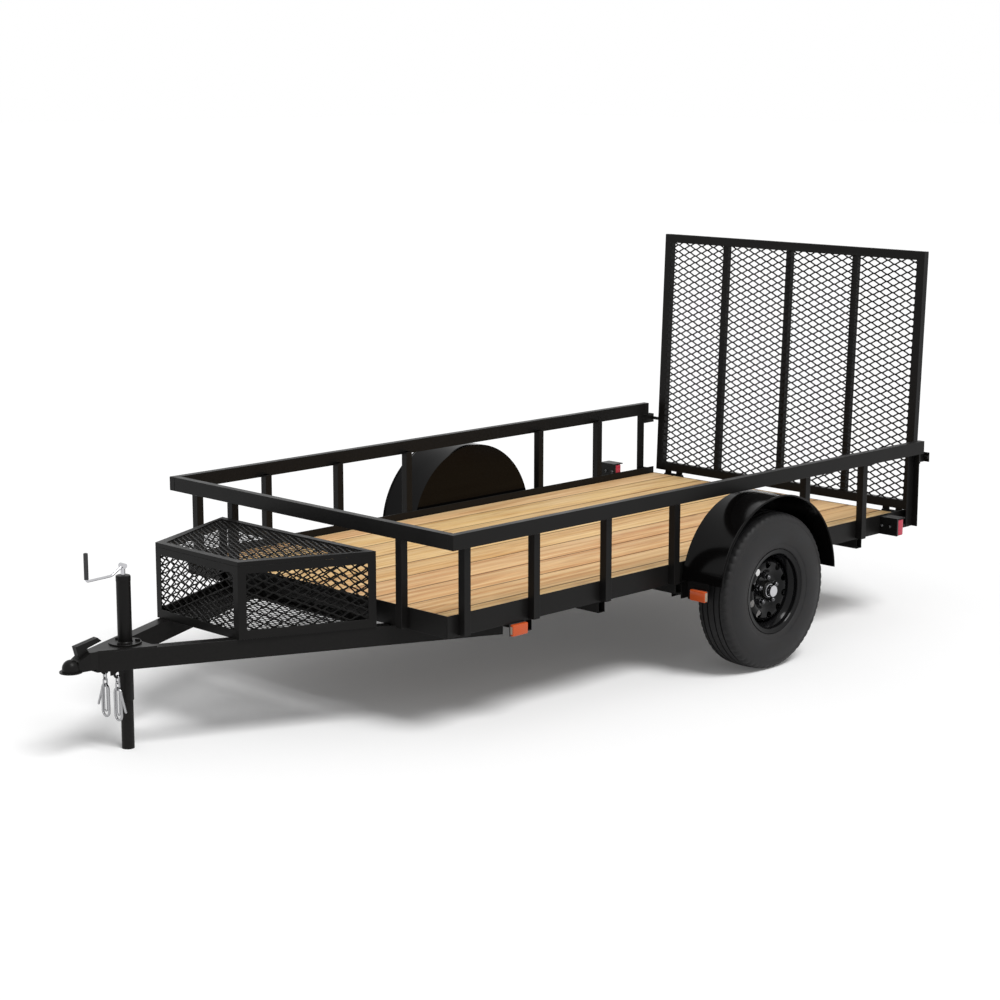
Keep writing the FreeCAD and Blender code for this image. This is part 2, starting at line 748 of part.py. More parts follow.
def basket_ring(z0, z1, inset):
    """A four-sided ring that follows the basket's outline."""
    outer = prism(basket_outline(z0, 0.0), z1 - z0, UP)
    return outer.cut(prism(basket_outline(z0 - overrun, inset), z1 - z0 + 2 * overrun, UP))


def basket_frame():
    """Welded basket frame: bottom and top rings and four corner posts."""
    floor_z = frame_bottom_z + coupler_wall
    low = basket_ring(floor_z, floor_z + basket_bar, basket_bar_wall)
    flange = basket_ring(frame_bottom_z, floor_z, basket_bar)
    high = basket_ring(basket_top_z - basket_bar, basket_top_z, basket_bar_wall)
    wall = basket_ring(frame_bottom_z, basket_top_z, basket_bar_wall)
    posts = []
    for x0, y0 in ((basket_rear_x, basket_rear_half), (basket_front_x, basket_front_half)):
        for side in (-1, 1):
            posts.append(box(x0 - basket_bar, x0 + basket_bar, side * y0 - basket_bar, side * y0 + basket_bar,
                             frame_bottom_z, basket_top_z))
    corners = wall.common(Part.makeCompound(posts))
    return low.fuse([flange, high, corners]).removeSplitter()


def rectangle(half_x, half_y):
    """The corners of a flat rectangle round the origin."""
    return [Vector(half_x, half_y, 0), Vector(-half_x, half_y, 0), Vector(-half_x, -half_y, 0),
            Vector(half_x, -half_y, 0)]


def expanded_panel(outline, field, long_way, short_way):
    """Expanded metal: two crossing layers of slanted strands inside a rim, flat round the origin."""
    layer = mesh_thickness / 2
    slant = math.degrees(math.atan2(short_way, long_way))
    spacing = long_way * short_way / math.hypot(long_way, short_way)
    reach = max(point.Length for point in outline)
    count = math.ceil(reach / spacing)
    layers = []
    for side in (-1, 1):
        strips = []
        for index in range(-count, count):
            y0 = index * spacing + mesh_strand / 2
            strip = box(-reach, reach, y0, y0 + spacing - mesh_strand, 0, layer)
            strip.rotate(ORIGIN, UP, side * slant)
            strips.append(strip)
        slots = prism(field, layer, UP).common(Part.makeCompound(strips))
        sheet = prism(outline, layer, UP).cut(slots)
        sheet.translate(UP * layer * (side + 1) / 2)
        layers.append(sheet)
    return Part.makeCompound(layers)


def placed(shape, origin, along, upward):
    """A flat panel set up at a place, its width along one direction and its height along another."""
    turn = FreeCAD.Rotation(along, upward, along.cross(upward), "XYZ")
    shape.Placement = FreeCAD.Placement(origin, turn)
    return shape


def basket_sheet(z, field_inset):
    """A level panel of expanded metal between the basket's walls."""
    middle = Vector((basket_rear_x + basket_front_x) / 2, 0, 0)
    outline = [point - middle for point in basket_outline(0, basket_bar_wall)]
    field = [point - middle for point in basket_outline(0, field_inset)]
    panel = expanded_panel(outline, field, basket_mesh_long, basket_mesh_short)
    panel.translate(middle + UP * z)
    return panel


def basket_mesh():
    """Expanded-metal floor and walls inside the basket frame."""
    floor_z = frame_bottom_z + coupler_wall
    low = floor_z + mesh_thickness
    half_height = (basket_top_z - low) / 2
    panels = [basket_sheet(floor_z, basket_bar)]
    corners = basket_outline(low + half_height, basket_bar_wall)
    for start, end in zip(corners, corners[1:] + corners[:1]):
        along = (end - start).normalize()
        half = (end - start).Length / 2 - 2 * mesh_thickness
        field = rectangle(half - mesh_rim, half_height - mesh_rim)
        panel = expanded_panel(rectangle(half, half_height), field, basket_mesh_long, basket_mesh_short)
        inside = (start + end) / 2 - along.cross(UP) * mesh_thickness
        panels.append(placed(panel, inside, along, UP))
    return Part.makeCompound(panels)


def lid_frame():
    """Flat lid frame over the basket."""
    z0 = basket_top_z + lid_gap
    ring = basket_ring(z0, z0 + lid_height, basket_bar_wall)
    top = basket_ring(z0 + lid_height - basket_bar_wall, z0 + lid_height, basket_bar)
    return ring.fuse(top).removeSplitter()


def lid_mesh():
    """Expanded-metal panel under the lid frame's top."""
    top = basket_top_z + lid_gap + lid_height - basket_bar_wall
    return basket_sheet(top - mesh_thickness, basket_bar)


def lid_hinges():
    """Two hinges along the basket's rear edge, each a barrel on a leaf."""
    hinges = []
    for side in (-1, 1):
        y0 = side * lid_hinge_place - lid_hinge_length / 2
        start = Vector(basket_rear_x - lid_hinge_radius, y0, basket_top_z - lid_hinge_radius)
        barrel = rod(lid_hinge_radius, start, LEFT, lid_hinge_length)
        leaf = box(basket_rear_x - lid_hinge_leaf, basket_rear_x, y0, y0 + lid_hinge_length,
                   basket_top_z - lid_hinge_drop, basket_top_z - lid_hinge_radius)
        hinges.append(barrel.fuse(leaf))
    return Part.makeCompound(hinges)


def gate_frame():
    """Outer gate frame of square tube, upright before it is leaned."""
    x1 = -gate_front_gap
    x0 = x1 - gate_depth
    top = gate_bottom_z + gate_height
    outer = box(x0, x1, -gate_half_width, gate_half_width, gate_bottom_z, top)
    inner = box(x0 - overrun, x1 + overrun, -gate_half_width + gate_bar, gate_half_width - gate_bar,
                gate_bottom_z + gate_bar, top - gate_bar)
    return outer.cut(inner)


def gate_bars():
    """Three inner bars behind the mesh."""
    x1 = -gate_front_gap - mesh_thickness - running_gap
    bars = []
    for share in gate_inner_share:
        place = share * gate_half_width
        bars.append(box(x1 - gate_inner_bar, x1, place - gate_inner_bar / 2, place + gate_inner_bar / 2,
                        gate_bottom_z + gate_bar, gate_bottom_z + gate_height - gate_bar))
    return Part.makeCompound(bars)


def gate_mesh():
    """Expanded-metal panel inside the gate frame."""
    half = gate_half_width - gate_bar
    half_height = gate_height / 2 - gate_bar
    field = rectangle(half - mesh_rim, half_height - mesh_rim)
    panel = expanded_panel(rectangle(half, half_height), field, gate_mesh_long, gate_mesh_short)
    origin = Vector(-gate_front_gap - mesh_thickness, 0, gate_bottom_z + gate_height / 2)
    return placed(panel, origin, LEFT, UP)


def gate_hinge_leaves():
    """Hinge leaves under the gate's bottom bar, with the outer knuckles."""
    leaves = []
    for side in (-1, 1):
        y = side * hinge_place
        y0 = y - hinge_leaf_half
        knuckle = 2 * hinge_leaf_half / 3 - hinge_knuckle_gap
        for start in (y0, y + hinge_leaf_half - knuckle):
            barrel = rod(hinge_radius, Vector(hinge_x, start, hinge_z), LEFT, knuckle)
            leaf = box(hinge_x - hinge_leaf_wall / 2, hinge_x + hinge_leaf_wall / 2, start, start + knuckle,
                       hinge_z, gate_bottom_z)
            leaf = leaf.fuse(barrel)
            hole = rod(hinge_pin_radius + running_gap, Vector(hinge_x, start - overrun, hinge_z), LEFT,
                       knuckle + 2 * overrun)
            leaves.append(leaf.cut(hole))
    return Part.makeCompound(leaves)


def chassis_hinges():
    """Middle knuckles on the rear angle, each with its hinge pin."""
    parts = []
    for side in (-1, 1):
        y = side * hinge_place
        half = hinge_leaf_half / 3
        barrel = rod(hinge_radius, Vector(hinge_x, y - half, hinge_z), LEFT, 2 * half)
        low = hinge_z - hinge_radius
        arm = box(hinge_x, 0, y - half, y + half, low, low + hinge_leaf_wall)
        pin = rod(hinge_pin_radius, Vector(hinge_x, y - hinge_leaf_half, hinge_z), LEFT, 2 * hinge_leaf_half)
        parts.append(barrel.fuse([arm, pin]))
    return Part.makeCompound(parts)


def leaned(shape):
    """Lean a gate piece rearwards about the hinge line."""
    shape = shape.copy()
    shape.rotate(Vector(hinge_x, 0, hinge_z), LEFT, -gate_lean)
    return shape


def side_marker():
    """Left amber lamps: one under the side angle, one that faces forwards on the fender's tab."""
    y1 = bed_half_width + fender_tab_inset + fender_tab_width
    side = box(marker_x, marker_x + marker_length, bed_half_width, bed_half_width + marker_depth,
               frame_bottom_z - marker_height, frame_bottom_z)
    low = fender_front_z - fender_tab_drop
    front = box(fender_front_x, fender_front_x + marker_depth, y1 - fender_tab_width, y1,
                low, low + marker_height)
    return Part.makeCompound([side, front])


def tail_bracket():
    """Left tail lamp bracket: a plate across the side angle's outside, a cover and the lamp's two studs."""
    low = frame_bottom_z
    outer = bed_half_width + tail_plate_width
    front = tail_plate_x + tail_plate_wall
    plate = box(tail_plate_x, front, bed_half_width, outer, low, low + tail_plate_height)
    cover = box(tail_plate_x - tail_cover_length, tail_plate_x, bed_half_width, outer,
                low + tail_plate_height - tail_plate_wall, low + tail_plate_height)
    pieces = [cover]
    for place in (tail_stud_inset, tail_stud_inset + tail_stud_spacing):
        start = Vector(tail_plate_x, bed_half_width + place, low + tail_stud_rise)
        pieces.append(rod(tail_stud_radius, start, FORWARD, tail_plate_wall + tail_stud_length))
    return plate.fuse(pieces).removeSplitter()


def tail_lamp():
    """Left tail lamp behind its bracket's plate."""
    low = frame_bottom_z
    top = low + tail_plate_height - tail_plate_wall
    return box(tail_plate_x - tail_lamp_depth, tail_plate_x, bed_half_width + lamp_inset,
               bed_half_width + tail_plate_width - lamp_inset, low, top - lamp_inset)


def chain_link(length, width, wire, top_z, turn):
    """One upright oval link below a height, turned about its own axis."""
    half = width / 2 - wire
    run = length / 2 - wire - half
    path = Part.Wire([
        Part.LineSegment(Vector(0, -half, -run), Vector(0, -half, run)).toShape(),
        Part.Arc(Vector(0, -half, run), Vector(0, 0, run + half), Vector(0, half, run)).toShape(),
        Part.LineSegment(Vector(0, half, run), Vector(0, half, -run)).toShape(),
        Part.Arc(Vector(0, half, -run), Vector(0, 0, -run - half), Vector(0, -half, -run)).toShape(),
    ])
    circle = Part.Wire(Part.makeCircle(wire, Vector(0, -half, 0), UP))
    link = path.makePipeShell([circle], True, True)
    link.rotate(ORIGIN, UP, turn)
    link.translate(Vector(chain_x, chain_y, top_z - length / 2))
    return link


def safety_chain():
    """Left safety chain as it hangs from its tab, with a spring hook on its last link."""
    hang_z = tongue_bottom_z - tab_drop + tab_hole_rise - tab_hole_radius
    top_z = hang_z + 2 * chain_wire + chain_seat_gap
    links = []
    for index in range(chain_links):
        links.append(chain_link(chain_link_length, chain_link_width, chain_wire, top_z, 90.0 * (index % 2)))
        top_z -= chain_link_length - 4 * chain_wire - running_gap
    top_z += 2 * hook_wire - 2 * chain_wire
    hook = chain_link(hook_length, hook_width, hook_wire, top_z, 90.0 * (chain_links % 2))
    swing = math.radians(hook_gate_angle)
    start = Vector(chain_x, chain_y + hook_width / 2 - hook_wire, top_z - hook_width / 2)
    latch = rod(hook_wire, start, Vector(0, math.sin(swing), -math.cos(swing)), hook_gate_length)
    links.append(hook.fuse(latch))
    return Part.makeCompound(links)


def chain_tab():
    """Left chain tab under the tongue member, rounded round its hole."""
    half = tab_length / 2
    low = tongue_bottom_z - tab_drop
    center_z = low + tab_hole_rise
    plate = box(chain_x - half, chain_x + half, chain_y - tab_wall / 2, chain_y + tab_wall / 2,
                center_z, tongue_bottom_z)
    eye = rod(tab_hole_rise, Vector(chain_x, chain_y - tab_wall / 2, center_z), LEFT, tab_wall)
    hole = rod(tab_hole_radius, Vector(chain_x, chain_y - tab_wall, center_z), LEFT, 2 * tab_wall)
    return plate.fuse(eye).cut(hole).removeSplitter()


def nodes():
    """Every node's name and shape."""
    table = {
        "frame_side_left": side_frame(),
        "frame_side_right": mirrored(side_frame()),
        "frame_front": front_frame(),
        "frame_rear": rear_frame(),
        "crossmembers": crossmembers(),
        "deck_boards": deck_boards(),
        "rail_left": side_rail(),
        "rail_right": mirrored(side_rail()),
        "rail_front": front_rail(),
        "uprights_left": side_uprights(),
        "uprights_right": mirrored(side_uprights()),
        "uprights_front": front_uprights(),
        "post_left": rear_post(),
        "post_right": mirrored(rear_post()),
        "tongue_left": tongue_member(),
        "tongue_right": mirrored(tongue_member()),
        "fender_left": fender(),
        "fender_right": mirrored(fender()),
        "axle_beam": axle(),
        "spring_left": leaf_spring(),
        "spring_right": mirrored(leaf_spring()),
        "tyre_left": tyre(),
        "tyre_right": mirrored(tyre()),
        "rim_left": rim(),
        "rim_right": mirrored(rim()),
        "hub_left": hub(),
        "hub_right": mirrored(hub()),
        "coupler": coupler(),
        "coupler_latch": coupler_latch(),
        "jack_tube": jack_tube(),
        "jack_leg": jack_leg(),
        "jack_crank": jack_crank(),
        "basket_frame": basket_frame(),
        "basket_mesh": basket_mesh(),
        "lid_frame": lid_frame(),
        "lid_mesh": lid_mesh(),
        "lid_hinges": lid_hinges(),
        "gate_frame": leaned(gate_frame()),
        "gate_bars": leaned(gate_bars()),
        "gate_mesh": leaned(gate_mesh()),
        "gate_hinge_leaves": leaned(gate_hinge_leaves()),
        "gate_hinge_knuckles": chassis_hinges(),
    }
    for name, side in (("left", 1), ("right", -1)):
        hangers = Part.makeCompound([spring_hanger(-1), spring_hanger(1)])
        pieces = {
            "spring_hangers_": hangers,
            "axle_pads_": axle_pad(),
            "latch_": gate_latch(),
            "side_marker_": side_marker(),
            "safety_chain_": safety_chain(),
            "chain_tab_": chain_tab(),
            "tail_bracket_": tail_bracket(),
            "tail_lamp_": tail_lamp(),
        }
        for stem, shape in pieces.items():
            table[stem + name] = shape if side > 0 else mirrored(shape)
    for stem in ("tail_bracket_", "tail_lamp_"):
        table[stem + "right"].translate(Vector(tail_right_ahead, 0, tail_right_rise))
    return table


def main():
    os.makedirs("parts", exist_ok=True)
    gate_rise = gate_bottom_z + gate_height - hinge_z
    rear_reach = gate_rise * math.sin(gate_lean_rad) + gate_depth / 2 * math.cos(gate_lean_rad) - hinge_x
    nose = ball_x + socket_radius + coupler_lip
    shift = Vector(-(nose - rear_reach) / 2, 0, 0)
    for name, shape in nodes().items():
        shape.translate(shift)
        shape.exportStep("parts/" + name + ".step")
    print("shift", shift.x, "nose", nose, "rear", rear_reach)


main()
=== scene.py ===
import math

import bmesh
import bpy
from mathutils import Matrix, Quaternion, Vector


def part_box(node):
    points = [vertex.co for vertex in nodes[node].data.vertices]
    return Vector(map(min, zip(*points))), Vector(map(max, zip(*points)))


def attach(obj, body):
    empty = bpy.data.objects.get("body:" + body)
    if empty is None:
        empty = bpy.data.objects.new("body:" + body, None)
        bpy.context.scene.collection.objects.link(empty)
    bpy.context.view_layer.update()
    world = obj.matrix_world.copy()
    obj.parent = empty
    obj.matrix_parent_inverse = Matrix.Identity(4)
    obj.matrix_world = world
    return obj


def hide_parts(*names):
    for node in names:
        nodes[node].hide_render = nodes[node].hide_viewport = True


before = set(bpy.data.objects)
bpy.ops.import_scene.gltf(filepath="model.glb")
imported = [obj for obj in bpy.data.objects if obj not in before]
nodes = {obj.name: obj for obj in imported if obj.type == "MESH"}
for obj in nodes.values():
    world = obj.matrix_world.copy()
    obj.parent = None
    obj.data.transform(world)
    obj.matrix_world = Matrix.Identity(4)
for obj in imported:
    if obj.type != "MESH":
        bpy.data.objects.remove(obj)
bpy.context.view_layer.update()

# The view: a three-quarter view from the left of the hitch, a little above the rails.
# The lens is long, so the far rail is only slightly smaller than the near one.
eye = Vector((6.69526, 6.7888, 2.5432))
heading = math.radians(-135.136)
dip = math.radians(10.925)
roll = 0.001
sight = Vector((math.cos(dip) * math.cos(heading), math.cos(dip) * math.sin(heading), -math.sin(dip)))
camera = bpy.data.objects.new("camera", bpy.data.cameras.new("camera"))
bpy.context.scene.collection.objects.link(camera)
camera.data.lens = 80.94
camera.data.sensor_width = 36.0
camera.data.clip_end = 200.0
camera.location = eye
camera.rotation_mode = "QUATERNION"
camera.rotation_quaternion = sight.to_track_quat("-Z", "Y") @ Quaternion((0.0, 0.0, 1.0), roll)
bpy.context.scene.camera = camera
bpy.context.scene.view_settings.view_transform = "Standard"


# The studio: a pale floor that runs out of sight under an even white sky, with one very broad lamp
# overhead, so that the trailer's shadow lies soft beneath it.
def math_node(tree, operation, first, second=0.0):
    """A sum on one or two values; each is a number or a socket."""
    node = tree.nodes.new("ShaderNodeMath")
    node.operation = operation
    for socket, value in zip(node.inputs, (first, second)):
        if isinstance(value, bpy.types.NodeSocket):
            tree.links.new(value, socket)
        else:
            socket.default_value = value
    return node.outputs[0]


def range_node(tree, source, low, high, to_low, to_high):
    """A value moved from one range to another and clamped."""
    node = tree.nodes.new("ShaderNodeMapRange")
    for label, value in (("From Min", low), ("From Max", high), ("To Min", to_low), ("To Max", to_high)):
        node.inputs[label].default_value = value
    tree.links.new(source, node.inputs["Value"])
    return node.outputs[0]


def seen_plainly(tree):
    """One where the camera looks, straight, in gloss or through glass, and nought for other light."""
    path = tree.nodes.new("ShaderNodeLightPath")
    seen = math_node(tree, "MAXIMUM", path.outputs["Is Camera Ray"], path.outputs["Is Glossy Ray"])
    return math_node(tree, "MAXIMUM", seen, path.outputs["Is Transmission Ray"])


def studio_material(name, colour, glow):
    """A matt pale surface that looks brighter to the camera, and in gloss, by a fixed glow."""
    material = bpy.data.materials.new(name)
    material.use_nodes = True
    tree = material.node_tree
    tree.nodes.clear()
    matt = tree.nodes.new("ShaderNodeBsdfDiffuse")
    matt.inputs["Color"].default_value = (*colour, 1.0)
    shine = tree.nodes.new("ShaderNodeEmission")
    tree.links.new(math_node(tree, "MULTIPLY", seen_plainly(tree), glow), shine.inputs["Strength"])
    both = tree.nodes.new("ShaderNodeAddShader")
    tree.links.new(matt.outputs[0], both.inputs[0])
    tree.links.new(shine.outputs[0], both.inputs[1])
    out = tree.nodes.new("ShaderNodeOutputMaterial")
    tree.links.new(both.outputs[0], out.inputs["Surface"])
    return material


floor_half = 80.0
floor_shape = bmesh.new()
bmesh.ops.create_grid(floor_shape, x_segments=1, y_segments=1, size=floor_half)
floor_mesh = bpy.data.meshes.new("floor")
floor_shape.to_mesh(floor_mesh)
floor_shape.free()
floor_mesh.materials.append(studio_material("pale_floor", (0.87, 0.87, 0.87), 0.07))
floor = bpy.data.objects.new("floor", floor_mesh)
bpy.context.scene.collection.objects.link(floor)

sky_light = 0.50
world = bpy.data.worlds.new("white_sky")
bpy.context.scene.world = world
world.use_nodes = True
sky = world.node_tree
background = sky.nodes["Background"]
background.inputs["Color"].default_value = (1.0, 1.0, 1.0, 1.0)
sky.links.new(range_node(sky, seen_plainly(sky), 0.0, 1.0, sky_light, 1.0), background.inputs["Strength"])

lamp_direction = Vector((-0.05, -0.60, -1.0))
lamp = bpy.data.objects.new("lamp_above", bpy.data.lights.new("lamp_above", "SUN"))
lamp.data.energy = 2.35
lamp.data.angle = math.radians(26.0)
lamp.rotation_mode = "QUATERNION"
lamp.rotation_quaternion = lamp_direction.to_track_quat("-Z", "Y")
bpy.context.scene.collection.objects.link(lamp)


# The welded steel frame: angle and square tube, shot-blasted and powder coated a glossy black.
# The coat flows round every edge, and settles in a faint orange peel with a little road dust low down.
def group_tree(name, inputs, outputs):
    """An empty shader node group with named sockets."""
    tree = bpy.data.node_groups.new(name, "ShaderNodeTree")
    for label, kind, value in inputs:
        socket = tree.interface.new_socket(label, in_out="INPUT", socket_type=kind)
        if value is not None:
            socket.default_value = value
    for label in outputs:
        tree.interface.new_socket(label, in_out="OUTPUT", socket_type="NodeSocketFloat")
    return tree, tree.nodes.new("NodeGroupInput"), tree.nodes.new("NodeGroupOutput")


def noise_node(tree, scale, detail, vector=None, roughness=0.55):
    """A noise texture on Object coordinates, or on another vector."""
    node = tree.nodes.new("ShaderNodeTexNoise")
    node.inputs["Scale"].default_value = scale
    node.inputs["Detail"].default_value = detail
    node.inputs["Roughness"].default_value = roughness
    if vector is None:
        vector = tree.nodes.new("ShaderNodeTexCoord").outputs["Object"]
    tree.links.new(vector, node.inputs["Vector"])
    return node


def mix_node(tree, factor, first, second):
    """Two colours mixed; each is a colour or a socket."""
    node = tree.nodes.new("ShaderNodeMix")
    node.data_type = "RGBA"
    for socket, value in ((node.inputs[0], factor), (node.inputs[6], first), (node.inputs[7], second)):
        if isinstance(value, bpy.types.NodeSocket):
            tree.links.new(value, socket)
        elif isinstance(value, float):
            socket.default_value = value
        else:
            socket.default_value = (*value, 1.0)
    return node.outputs[2]


def relief_node(tree, shader, height, strength, distance):
    """A height turned to a slight relief in the shader's normal."""
    relief = tree.nodes.new("ShaderNodeBump")
    relief.inputs["Strength"].default_value = strength
    relief.inputs["Distance"].default_value = distance
    tree.links.new(height, relief.inputs["Height"])
    tree.links.new(relief.outputs[0], shader.inputs["Normal"])


def new_material(name):
    """A new material, with its node tree and its shader."""
    material = bpy.data.materials.new(name)
    material.use_nodes = True
    return material, material.node_tree, material.node_tree.nodes["Principled BSDF"]


peel_scale = 260.0
coat_group, coat_in, coat_out = group_tree(
    "coat_surface",
    [("Peel Scale", "NodeSocketFloat", peel_scale), ("Dust Height", "NodeSocketFloat", 0.55)],
    ("Peel", "Patches", "Dust"))
coat_place = coat_group.nodes.new("ShaderNodeTexCoord").outputs["Object"]
coat_peel = noise_node(coat_group, peel_scale, 2.0, coat_place)
coat_group.links.new(coat_in.outputs["Peel Scale"], coat_peel.inputs["Scale"])
coat_group.links.new(coat_peel.outputs["Fac"], coat_out.inputs["Peel"])
coat_patches = noise_node(coat_group, 5.0, 5.0, coat_place)
coat_group.links.new(range_node(coat_group, coat_patches.outputs["Fac"], 0.3, 0.7, 0.0, 1.0),
                     coat_out.inputs["Patches"])
coat_split = coat_group.nodes.new("ShaderNodeSeparateXYZ")
coat_group.links.new(coat_place, coat_split.inputs[0])
coat_height = math_node(coat_group, "DIVIDE", coat_split.outputs["Z"], coat_in.outputs["Dust Height"])
coat_low = range_node(coat_group, coat_height, 0.3, 1.0, 1.0, 0.0)
coat_specks = noise_node(coat_group, 90.0, 6.0, coat_place, 0.7)
coat_thin = range_node(coat_group, coat_specks.outputs["Fac"], 0.35, 0.75, 0.0, 1.0)
coat_group.links.new(math_node(coat_group, "MULTIPLY", coat_low, coat_thin), coat_out.inputs["Dust"])


def coated_steel(name, colour, dusty, roughness, specular, bump):
    """Powder-coated steel with a faint orange peel, uneven gloss and a film of dust low down."""
    material, tree, shader = new_material(name)
    surface = tree.nodes.new("ShaderNodeGroup")
    surface.node_tree = coat_group
    dust = math_node(tree, "MULTIPLY", surface.outputs["Dust"], 0.35)
    tree.links.new(mix_node(tree, dust, colour, dusty), shader.inputs["Base Color"])
    tree.links.new(range_node(tree, surface.outputs["Patches"], 0.0, 1.0, *roughness),
                   shader.inputs["Roughness"])
    shader.inputs["Specular IOR Level"].default_value = specular
    relief_node(tree, shader, surface.outputs["Peel"], bump, 0.0004)
    return material


black_coat = coated_steel("black_powder_coat", (0.0065, 0.0062, 0.0060), (0.022, 0.020, 0.018),
                          (0.30, 0.44), 0.11, 0.04)


def eased(name, width, material):
    """A packed steel piece whose sharp edges are rounded as its coat rounds them."""
    piece = nodes[name]
    weld = piece.modifiers.new("weld", "WELD")
    weld.merge_threshold = 0.00002
    bevel = piece.modifiers.new("rounded_edges", "BEVEL")
    bevel.width = width
    bevel.segments = 2
    bevel.limit_method = "ANGLE"
    bevel.angle_limit = math.radians(40.0)
    bevel.harden_normals = True
    coated(name, material)


def coated(name, material):
    """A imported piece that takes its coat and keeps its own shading."""
    for place in nodes[name].material_slots:
        place.material = material


for steel in ("frame_side_left", "frame_side_right", "frame_front", "frame_rear", "crossmembers", "rail_left",
              "rail_right", "rail_front", "uprights_front", "tongue_left", "tongue_right", "gate_frame",
              "gate_bars"):
    eased(steel, 0.002, black_coat)
for fitting in ("post_left", "post_right", "basket_frame", "lid_frame", "coupler_latch"):
    eased(fitting, 0.0008, black_coat)
for curved in ("latch_left", "latch_right", "tail_bracket_left", "tail_bracket_right", "gate_hinge_leaves",
               "gate_hinge_knuckles", "spring_hangers_left", "spring_hangers_right", "axle_pads_left",
               "axle_pads_right", "chain_tab_left", "chain_tab_right", "coupler", "jack_leg", "lid_hinges",
               "spring_left", "spring_right", "axle_beam"):
    coated(curved, black_coat)


# The rail ends: square tubes closed by small steel plates, welded in flush and coated with the rest.
def block(shape, centre, size):
    """A box of a size round its centre."""
    return bmesh.ops.create_cube(shape, size=1.0, matrix=Matrix.LocRotScale(centre, None, size))["verts"]


def round_edges(shape, edges, offset, segments=2):
    """Rounds edges of a shape."""
    bmesh.ops.bevel(shape, geom=edges, offset=offset, segments=segments, profile=0.5, affect="EDGES",
                    material=-1)


def finished(name, shape, material, body, sharp=35.0, replaced=(), solid=True):
    """A finished piece from its bmesh, riding on its body."""
    if solid:
        bmesh.ops.recalc_face_normals(shape, faces=shape.faces[:])
    mesh = bpy.data.meshes.new(name)
    shape.to_mesh(mesh)
    shape.free()
    mesh.shade_smooth()
    mesh.set_sharp_from_angle(angle=math.radians(sharp))
    mesh.materials.append(material)
    piece = bpy.data.objects.new(name, mesh)
    bpy.context.scene.collection.objects.link(piece)
    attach(piece, body)
    if replaced:
        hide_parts(*replaced)
    return piece


end_plate = 0.003
end_proud = 0.0004
end_margin = Vector((0.0, 0.002, 0.002))
end_caps = bmesh.new()
for rail in ("rail_left", "rail_right"):
    rail_low, rail_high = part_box(rail)
    inwards = end_plate / 2 - end_proud
    for end_x in (rail_high.x - inwards, rail_low.x + inwards):
        centre = (rail_low + rail_high) / 2
        centre.x = end_x
        size = rail_high - rail_low - end_margin
        size.x = end_plate
        block(end_caps, centre, size)
round_edges(end_caps, end_caps.edges[:], 0.001)
finished("rail_end_caps", end_caps, black_coat, "chassis", 20.0)


# The side uprights: steel angles whose tops are welded to the rails' inner faces, a little above the
# rails' lower edges, so that none shows above a rail.
def cut_off(shape, place, outward):
    """Cuts away what lies beyond a plane, and gives the edges of the cut."""
    cut = bmesh.ops.bisect_plane(shape, geom=shape.verts[:] + shape.edges[:] + shape.faces[:],
                                 plane_co=place, plane_no=outward, clear_outer=True)["geom_cut"]
    return [item for item in cut if isinstance(item, bmesh.types.BMEdge)]


sides = {"left": 1.0, "right": -1.0}
upright_top = 0.774
upright_round = 0.001
for side_name in sides:
    uprights = bmesh.new()
    uprights.from_mesh(nodes["uprights_" + side_name].data)
    bmesh.ops.remove_doubles(uprights, verts=uprights.verts[:], dist=0.00002)
    open_edges = cut_off(uprights, (0.0, 0.0, upright_top), (0.0, 0.0, 1.0))
    bmesh.ops.holes_fill(uprights, edges=open_edges, sides=0)
    bmesh.ops.dissolve_limit(uprights, angle_limit=math.radians(2.0), verts=uprights.verts[:],
                             edges=uprights.edges[:])
    bmesh.ops.recalc_face_normals(uprights, faces=uprights.faces[:])
    corners = [edge for edge in uprights.edges
               if edge.is_manifold and edge.calc_face_angle() > math.radians(40.0)]
    round_edges(uprights, corners, upright_round)
    finished("side_uprights_" + side_name, uprights, black_coat, "chassis", 20.0,
             ("uprights_" + side_name,))


# The deck: nine softwood boards laid lengthwise, planed and treated, with eased edges and painted shade
# darkening each seam between neighbours. Each is cut from another plank, so tint and grain change from board
# to board, and painted shade darkens the underside.
board_count = 9
board_pitch = 0.186
board_shift = -0.011
board_seam = 0.0055
board_edge = 0.004
first_seam = board_shift + (board_count / 2 - 1) * board_pitch
deck_low, deck_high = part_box("deck_boards")
deck_middle = (deck_low + deck_high) / 2
deck_size = deck_high - deck_low
planks = bmesh.new()
seams = [deck_high.y] + [first_seam - index * board_pitch for index in range(board_count - 1)] + [deck_low.y]
for left, right in zip(seams[:-1], seams[1:]):
    block(planks, Vector((deck_middle.x, (left + right) / 2, deck_middle.z)),
          Vector((deck_size.x, left - right - board_seam, deck_size.z)))
round_edges(planks, planks.edges[:], board_edge)


def stretched(tree, vector, scale, shift=(0.0, 0.0, 0.0)):
    """A vector scaled on each axis, then moved."""
    node = tree.nodes.new("ShaderNodeMapping")
    node.inputs["Location"].default_value = shift
    node.inputs["Scale"].default_value = scale
    tree.links.new(vector, node.inputs["Vector"])
    return node.outputs[0]


